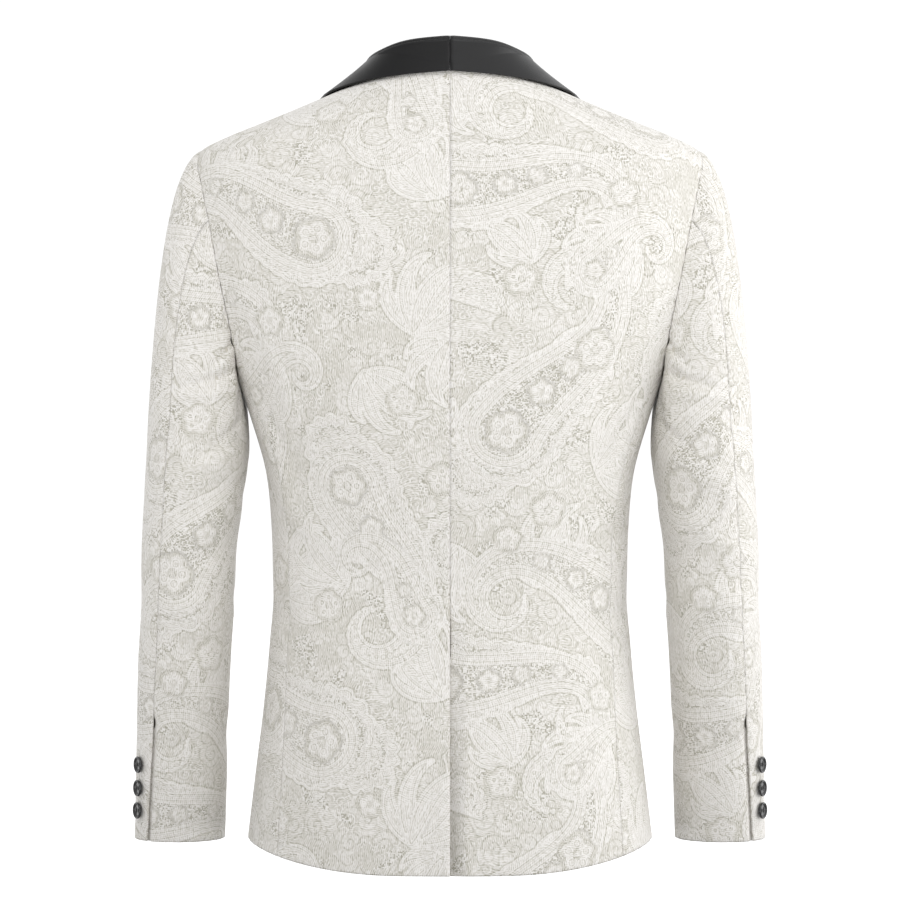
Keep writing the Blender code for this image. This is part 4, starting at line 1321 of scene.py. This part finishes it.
def scrolls(finish, flat, cell, pitch):
    """Spirals round the middle of each cell: their wave, the gap to the cell's edge, a chance."""
    add, math = finish.add, finish.math
    cells = add("VectorMath", flat, (1 / cell,) * 3, operation="MULTIPLY")
    eye = add("TexVoronoi", cells, None, 1.0, voronoi_dimensions="2D").node
    edge = add(
        "TexVoronoi", cells, None, 1.0, voronoi_dimensions="2D", feature="DISTANCE_TO_EDGE"
    ).node
    for node in (eye, edge):
        node.inputs["Randomness"].default_value = SCROLL_SPREAD
    away = add("VectorMath", cells, eye.outputs["Position"], operation="SUBTRACT")
    away = add("SeparateXYZ", away).node.outputs
    angle = math("ARCTAN2", away[1], away[0])
    chance = add("SeparateColor", eye.outputs["Color"]).node.outputs
    hand = math("SUBTRACT", math("MULTIPLY", math("GREATER_THAN", chance[0], 0.5), 2.0), 1.0)
    wind = math("MULTIPLY", eye.outputs["Distance"], 2 * np.pi * cell / pitch)
    wind = math("ADD", wind, math("MULTIPLY", chance[0], SCROLL_START))
    wave = math("SINE", math("ADD", math("MULTIPLY", angle, hand), wind))
    return wave, math("MULTIPLY", edge.outputs["Distance"], cell), chance[1]


def weave(finish, lay, depth, across):
    """Fine floats and wavy ribs along the cloth, or across it where across is 1."""
    add, math = finish.add, finish.math
    tones = []
    for first, second in ((lay[0], lay[1]), (lay[1], lay[0])):
        wave = math("SINE", math("MULTIPLY", second, 2 * np.pi / RIB_WAVE))
        bent = math("ADD", first, math("MULTIPLY", depth, RIB_FOLLOW))
        bent = math("ADD", bent, math("MULTIPLY", wave, RIB_SWAY))
        rib = math("SINE", math("MULTIPLY", bent, 2 * np.pi / RIB))
        cells = add("CombineXYZ", bent, second)
        cells = add("VectorMath", cells, (FLOAT_WIDTH, FLOAT_LENGTH, 1.0), operation="SNAP")
        chance = add("TexWhiteNoise", cells, noise_dimensions="2D")
        chance = math("MULTIPLY", math("SUBTRACT", chance, 0.5), FLOAT_TONE)
        tones.append(math("ADD", chance, math("MULTIPLY", rib, RIB_TONE)))
    return finish.mix(across, *tones)


def at_depth(finish, depth, rows):
    """A tone by depth, from a table of Band."""
    place = finish.fit(depth, BANDS_FROM, BANDS_TO)
    reach = BANDS_TO - BANDS_FROM
    return finish.ramp(place, [((row.depth - BANDS_FROM) / reach, row.tone) for row in rows])


def jacquard():
    finish = Finish("jacquard", Sheen_Weight=0.12, Sheen_Roughness=0.5, Specular_IOR_Level=0.3)
    add, math, fit = finish.add, finish.math, finish.fit
    figure = add("SeparateXYZ", add("Attribute", attribute_name="figure", out=1)).node.outputs
    depth, rays, speckle = figure[0], figure[1], figure[2]
    lay = add("SeparateXYZ", add("Attribute", attribute_name="lay", out=1)).node.outputs
    flat = add("CombineXYZ", lay[0], lay[1])

    patches = add("TexNoise", flat, None, 1 / PATCH, 2.0, out=1)
    patches = add("SeparateColor", patches).node.outputs
    grain = add("VectorMath", flat, (SPECK,) * 3, operation="SNAP")
    grain = add("TexWhiteNoise", grain, noise_dimensions="2D")
    dots = finish.ramp(grain, DOTS, "CONSTANT")

    # between the motifs the ground is puffs and fine scrolls, with patches left plain or dotted
    wave, rim, chance = scrolls(finish, flat, PUFF, PUFF_PITCH)
    puffs = fit(wave, *PUFF_TONES, smooth=True)
    puffs = math("MULTIPLY", puffs, fit(rim, *PUFF_RIM_TONES))
    puffs = math("ADD", puffs, fit(chance, 0.0, 1.0, -PUFF_SPREAD, PUFF_SPREAD))
    wave, _, _ = scrolls(finish, flat, FINE_SCROLL, FINE_PITCH)
    fine = fit(wave, *FINE_TONES, smooth=True)
    ground = finish.mix(fit(patches[0], *PUFFS_AT), fine, puffs)
    ground = finish.mix(fit(patches[1], *PLAIN_AT), ground, GROUND_PLAIN_TONE)
    ground = finish.mix(fit(patches[2], *DOTS_AT), ground, dots)

    # motifs: bands along their edges, rays across the bands, and speckled hearts
    shade = math("MULTIPLY", math("MAXIMUM", math("MULTIPLY", rays, -1.0), 0.0), RAY_SHADE)
    bands = math("SUBTRACT", at_depth(finish, depth, BANDS), shade)
    motif = finish.mix(speckle, bands, dots)
    tone = finish.mix(fit(depth, -MOTIF_EDGE, MOTIF_EDGE, smooth=True), ground, motif)
    tone = math("MULTIPLY", tone, at_depth(finish, depth, OUTLINE))
    tone = finish.mix(lay[2], tone, PLAIN_TONE)

    lines = math("SINE", math("MULTIPLY", depth, 2 * np.pi / RIB))
    lines = math("MULTIPLY", lines, fit(depth, 0.0, CONTOUR_RUN_IN, 0.0, CONTOUR_TONE))
    tone = math("ADD", tone, lines)
    across = fit(patches[1], *ACROSS_AT)
    tone = math("ADD", tone, weave(finish, lay, depth, across), clamp=True)
    finish.link(finish.ramp(tone, TONES), "Base Color")
    finish.link(fit(tone, 0.0, 1.0, 0.72, 0.46), "Roughness")
    finish.bump(tone, 0.6, 0.0005)
    return finish.made


def lit_and_shaded_satin(side, name):
    """The two halves are lit and shaded copies of one satin: the right half's lighter base tone and
    higher gloss are a painted highlight, and the left half's darker ones are painted shade.
    """
    # painted highlight and shade: each half gets its own gloss and base tone
    gloss, depth = SATIN_LEFT_PAINTED_SHADE if side == LEFT else SATIN_RIGHT_PAINTED_HIGHLIGHT
    finish = Finish(
        f"satin_{name}", Sheen_Weight=0.04, Sheen_Roughness=0.35, Specular_IOR_Level=gloss,
        Base_Color=(depth, depth, 1.05 * depth, 1),
    )
    twill = finish.add("Mapping", finish.add("TexCoord", out=3), None, TWILL_TURN, (1.0, 1.0, 1.0))
    lines = finish.add("TexWave", twill, TWILL_SCALE, 0.0, 0.0, bands_direction="Z", out=1)
    finish.link(finish.fit(finish.clouds(*SATIN_CLOUDS), 0.3, 0.7, 0.36, 0.46), "Roughness")
    finish.bump(lines, 0.08, 0.0002)
    return finish.made


def lining():
    finish = Finish("lining", Sheen_Weight=0.1, Sheen_Roughness=0.4)
    cloudy = finish.clouds(*LINING_CLOUDS)
    tone = finish.ramp(cloudy, ((0.3, (0.55, 0.52, 0.45)), (0.7, (0.64, 0.61, 0.54))))
    finish.link(tone, "Base Color")
    finish.link(finish.fit(cloudy, 0.3, 0.7, 0.34, 0.46), "Roughness")
    finish.bump(cloudy, 0.2, 0.001)
    return finish.made


def gloss_black():
    finish = Finish("gloss_black", Base_Color=(0.006, 0.006, 0.007, 1), Coat_Weight=0.6)
    finish.link(finish.fit(finish.clouds(*SCUFFS), 0.35, 0.7, 0.1, 0.24), "Roughness")
    return finish.made


def thread(name, colour):
    finish = Finish(name, Base_Color=(*colour, 1))
    strands = finish.clouds(*STRANDS)
    finish.link(finish.fit(strands, 0.3, 0.7, 0.55, 0.85), "Roughness")
    finish.bump(strands, 0.4, 0.0002)
    return finish.made


# Buttons


Step = namedtuple("Step", "radius height")
DISH_RADIUS, DISH_HEIGHT = 0.62, 0.42  # shares of the button's radius and height
RIM = table(
    Step,
    (0.70, 0.60),
    (0.80, 0.90),
    (0.88, 1.0),
    (0.95, 0.95),
    (1.0, 0.72),
    (1.0, 0.42),
    (0.95, 0.16),
    (0.84, 0.0),
    (0.4, -0.04),
)
MIDDLE_CELLS = 6  # the middle is a grid of so many cells each way, and its eyes are four of them
# In cells: where the eyes lie, how far their rim and slope come in, and how long a strand is
EYE_FROM, EYE_TO, EYE_RIM, EYE_SLOPE, STRAND_CELLS = 0.55, 1.45, 0.08, 0.12, 2.1
EYE_DEPTH = 0.5  # as a share of the button's height


def button(node, radius, height, centre, facing, gloss, thread):
    """A four-hole button with a raised rim, its thread across the holes and its shank."""
    work = bmesh.new()
    bmesh.ops.create_grid(work, x_segments=MIDDLE_CELLS, y_segments=MIDDLE_CELLS, size=1.0)
    for vert in work.verts:
        a, b = vert.co.x, vert.co.y
        reach = DISH_RADIUS * radius
        vert.co = (
            reach * a * (1 - b * b / 2) ** 0.5,
            reach * b * (1 - a * a / 2) ** 0.5,
            DISH_HEIGHT * height,
        )
    cell = 2 * DISH_RADIUS * radius / MIDDLE_CELLS
    eyes = [
        face for face in work.faces
        if all(EYE_FROM < abs(c) / cell < EYE_TO for c in face.calc_center_median()[:2])
    ]
    rim = [edge for edge in work.edges if edge.is_boundary]
    for step in RIM:
        grown = bmesh.ops.extrude_edge_only(work, edges=rim)["geom"]
        for vert in (item for item in grown if isinstance(item, bmesh.types.BMVert)):
            flat = Vector((vert.co.x, vert.co.y, 0)).normalized() * step.radius * radius
            vert.co = (flat.x, flat.y, step.height * height)
        rim = [item for item in grown if isinstance(item, bmesh.types.BMEdge)]
    bmesh.ops.holes_fill(work, edges=rim)
    bmesh.ops.inset_individual(work, faces=eyes, thickness=EYE_RIM * cell, depth=0.0)
    bmesh.ops.inset_individual(
        work, faces=eyes, thickness=EYE_SLOPE * cell, depth=-EYE_DEPTH * height
    )
    bmesh.ops.recalc_face_normals(work, faces=work.faces)
    disc = placed(f"{node}_disc", work, centre, facing, gloss)
    smooth = disc.modifiers.new("Smooth", "SUBSURF")
    smooth.levels = smooth.render_levels = 2
    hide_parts(node)

    work = bmesh.new()
    for side in (-1, 1):
        strand = bmesh.ops.create_cone(
            work, cap_ends=True, segments=10, radius1=STRAND, radius2=STRAND,
            depth=STRAND_CELLS * cell,
        )["verts"]
        bmesh.ops.rotate(work, verts=strand, matrix=Matrix.Rotation(np.pi / 2, 3, "X"))
        up = DISH_HEIGHT * height + STRAND_LIFT
        bmesh.ops.translate(work, verts=strand, vec=(side * cell, 0, up))
    shank = bmesh.ops.create_cone(
        work, cap_ends=True, segments=16, radius1=SHANK_FOOT, radius2=SHANK_TOP,
        depth=BUTTON_GAP + SHANK_INTO,
    )["verts"]
    bmesh.ops.translate(work, verts=shank, vec=(0, 0, -0.5 * BUTTON_GAP))
    placed(f"{node}_thread", work, centre, facing, thread)


def buttonhole(node, finish):
    """The worked edge of the hole that the front button stands in."""
    around = 2 * np.pi * np.arange(HOLE_STEPS) / HOLE_STEPS
    x = 0.5 * (HOLE_FROM + HOLE_TO) + 0.5 * (HOLE_TO - HOLE_FROM) * np.cos(around)
    z = FRONT_BUTTON_Z + HOLE_HALF * np.sin(around)
    turn = turn_at(x, z)
    path = body_point(LEFT, turn, z) + HOLE_LIFT * body_normal(turn, z)
    curve = bpy.data.curves.new(f"{node}_hole", "CURVE")
    curve.dimensions = "3D"
    curve.bevel_depth, curve.bevel_resolution = HOLE_THREAD * MM, 2
    spline = curve.splines.new("POLY")
    spline.points.add(HOLE_STEPS - 1)
    spline.use_cyclic_u = True
    for point, place in zip(spline.points, path * MM):
        point.co = (*place, 1)
    curve.materials.append(finish)
    worn(curve.name, curve)


def placed(name, work, centre, facing, finish):
    """Turn a piece made round the origin to face outwards at its centre, in metres."""
    turn = Vector(facing).to_track_quat("Z", "Y").to_matrix().to_4x4()
    stand = Matrix.Translation(Vector(centre) + Vector(facing) * BUTTON_GAP)
    bmesh.ops.transform(work, matrix=Matrix.Scale(MM, 4) @ stand @ turn, verts=work.verts)
    mesh = mesh_of(name, work)
    mesh.materials.append(finish)
    return worn(name, mesh)


# The jacket


def make_body(finishes, repeat):
    for side, name in SIDES:
        for panel, lines, edge in (
            ("back", back_patch(side), "last"),
            ("side", side_patch(side), "top"),
            ("front", front_patch(side), "first"),
        ):
            points, calm = body_point(side, *np.moveaxis(lines, -1, 0)), {edge: ARMHOLE_CALM_Z}
            outward = points[PANEL_SPOT] * LEVEL
            cloth(f"{panel}_{name}", points, PANEL_SPOT, outward, finishes, repeat, calm=calm)


def make_sleeves(finishes, repeat):
    calm = {"top": ARMHOLE_CALM_Z, "first": ELBOW_CALM_Z, "last": ELBOW_CALM_Z}
    for side, name in SIDES:
        for piece, under in (("topsleeve", False), ("undersleeve", True)):
            points = sleeve_grid(side, under)
            at = (SLEEVE_SPOT_ROW, points.shape[1] // 2)
            outward = points[at] - sleeve_axis(points[at][2]) * (side, 1, 1)
            cloth(f"{piece}_{name}", points, at, outward, finishes, repeat, calm=calm)


def make_collar():
    for side, name in SIDES:
        finish = lit_and_shaded_satin(side, name)
        cloth(
            f"shawl_{name}", shawl_grid(side), SHAWL_SPOT, (0, 1, 0), (finish, finish),
            edges=("first",), held="folded", thicken_out=True,
        )


def make_buttons(gloss, black, ivory):
    for side, name in SIDES:
        for number, z in enumerate(CUFF_BUTTON_Z, 1):
            angle = CUFF_BUTTON_ANGLE + np.array([-1, 0, 1])
            before, centre, after = sleeve_ring(angle, np.full(3, z)) * (side, 1, 1)
            across = unit(after - before)
            facing = np.array([across[1], -across[0], 0]) * side
            button(
                f"cuff_button_{name}_{number}", CUFF_BUTTON_RADIUS, CUFF_BUTTON_HEIGHT,
                centre, facing, gloss, black,
            )
    place = (np.array([180.0]), np.array([FRONT_BUTTON_Z]))
    button(
        "front_button", FRONT_BUTTON_RADIUS, FRONT_BUTTON_HEIGHT,
        body_point(LEFT, *place)[0], body_normal(*place)[0], gloss, black,
    )
    buttonhole("front_button", ivory)


# The studio, in metres


Lamp = namedtuple("Lamp", "name x y z size watts")
LAMPS = table(
    Lamp,
    ("key", -3.2, 0.1, 0.3, 1.6, 24),
    ("overhead", 0.0, 2.0, 2.6, 1.4, 16),
)
FLOOR_Z, FLOOR_RADIUS, AIM_Z = -0.95, 9.0, -0.34
# The sky is darker on the wearer's left
SKY_LIGHT, SKY_SPAN, SKY_LEFT = 1.06, (0.15, 0.85), -0.5
# The floor has a painted shadow: it is grey under the jacket and fades to white over this reach, in
# metres, and it glows more towards its rim, though it is no lamp
FLOOR_SHADOW_FADE, FLOOR_SHADOW_TONE, FLOOR_GLOW = (0.5, 1.3), (0.34, 0.9), 0.4
LENS, SENSOR, CAMERA_Y, CAMERA_Z = 130, 36, 3.0, -0.336


def make_studio():
    floor_work = bmesh.new()
    bmesh.ops.create_circle(floor_work, cap_ends=True, segments=96, radius=FLOOR_RADIUS)
    bmesh.ops.translate(floor_work, verts=floor_work.verts, vec=(0, 0, FLOOR_Z))
    mesh = mesh_of("studio_floor", floor_work)
    paint = Finish("studio_white", Emission_Color=(1, 1, 1, 1), Roughness=0.9)
    place = paint.add("SeparateXYZ", paint.add("TexCoord", out=3)).node.outputs
    reach = paint.add("CombineXYZ", place[0], place[1])
    reach = paint.add("VectorMath", reach, operation="LENGTH", out=1)
    away = paint.fit(reach, *FLOOR_SHADOW_FADE)
    # painted shadow: the floor's base colour is grey under the jacket and lightens outwards, while
    # its glow rises outwards
    paint.link(paint.fit(away, 0.0, 1.0, *FLOOR_SHADOW_TONE), "Base Color")
    paint.link(paint.fit(away, 0.0, 1.0, 0.0, FLOOR_GLOW), "Emission Strength")
    mesh.materials.append(paint.made)
    in_scene("studio_floor", mesh)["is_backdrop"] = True

    world = bpy.data.worlds.new("studio")
    world.use_nodes = True
    sky, glow = Nodes(world.node_tree), world.node_tree.nodes["Background"].inputs
    glow["Color"].default_value = (1, 1, 1, 1)
    way = sky.add("SeparateXYZ", sky.add("TexCoord")).node.outputs
    light = sky.math("ADD", sky.fit(way[0], *SKY_SPAN, 0.0, SKY_LEFT), SKY_LIGHT)
    world.node_tree.links.new(light, glow["Strength"])
    bpy.context.scene.world = world

    for lamp in LAMPS:
        data = bpy.data.lights.new(lamp.name, "AREA")
        data.energy, data.size = lamp.watts, lamp.size
        light = in_scene(lamp.name, data)
        light.location = lamp.x, lamp.y, lamp.z
        aim = Vector((0, 0, AIM_Z)) - light.location
        light.rotation_euler = aim.to_track_quat("-Z", "Y").to_euler()

    data = bpy.data.cameras.new("camera")
    data.lens, data.sensor_width = LENS, SENSOR
    camera = in_scene("camera", data)
    camera.location = 0, CAMERA_Y, CAMERA_Z
    camera.rotation_euler = np.pi / 2, 0, np.pi
    bpy.context.scene.camera = camera
    bpy.context.scene.view_settings.view_transform = "Standard"


def main():
    repeat = Repeat()
    finishes = jacquard(), lining()
    make_body(finishes, repeat)
    make_sleeves(finishes, repeat)
    make_collar()
    make_buttons(gloss_black(), thread("thread_black", BLACK), thread("thread_ivory", IVORY))
    make_studio()
    boxes = {"cad": cad_box, "model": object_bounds()}
    {name: [list(corner) for corner in box] for name, box in boxes.items()}


main()
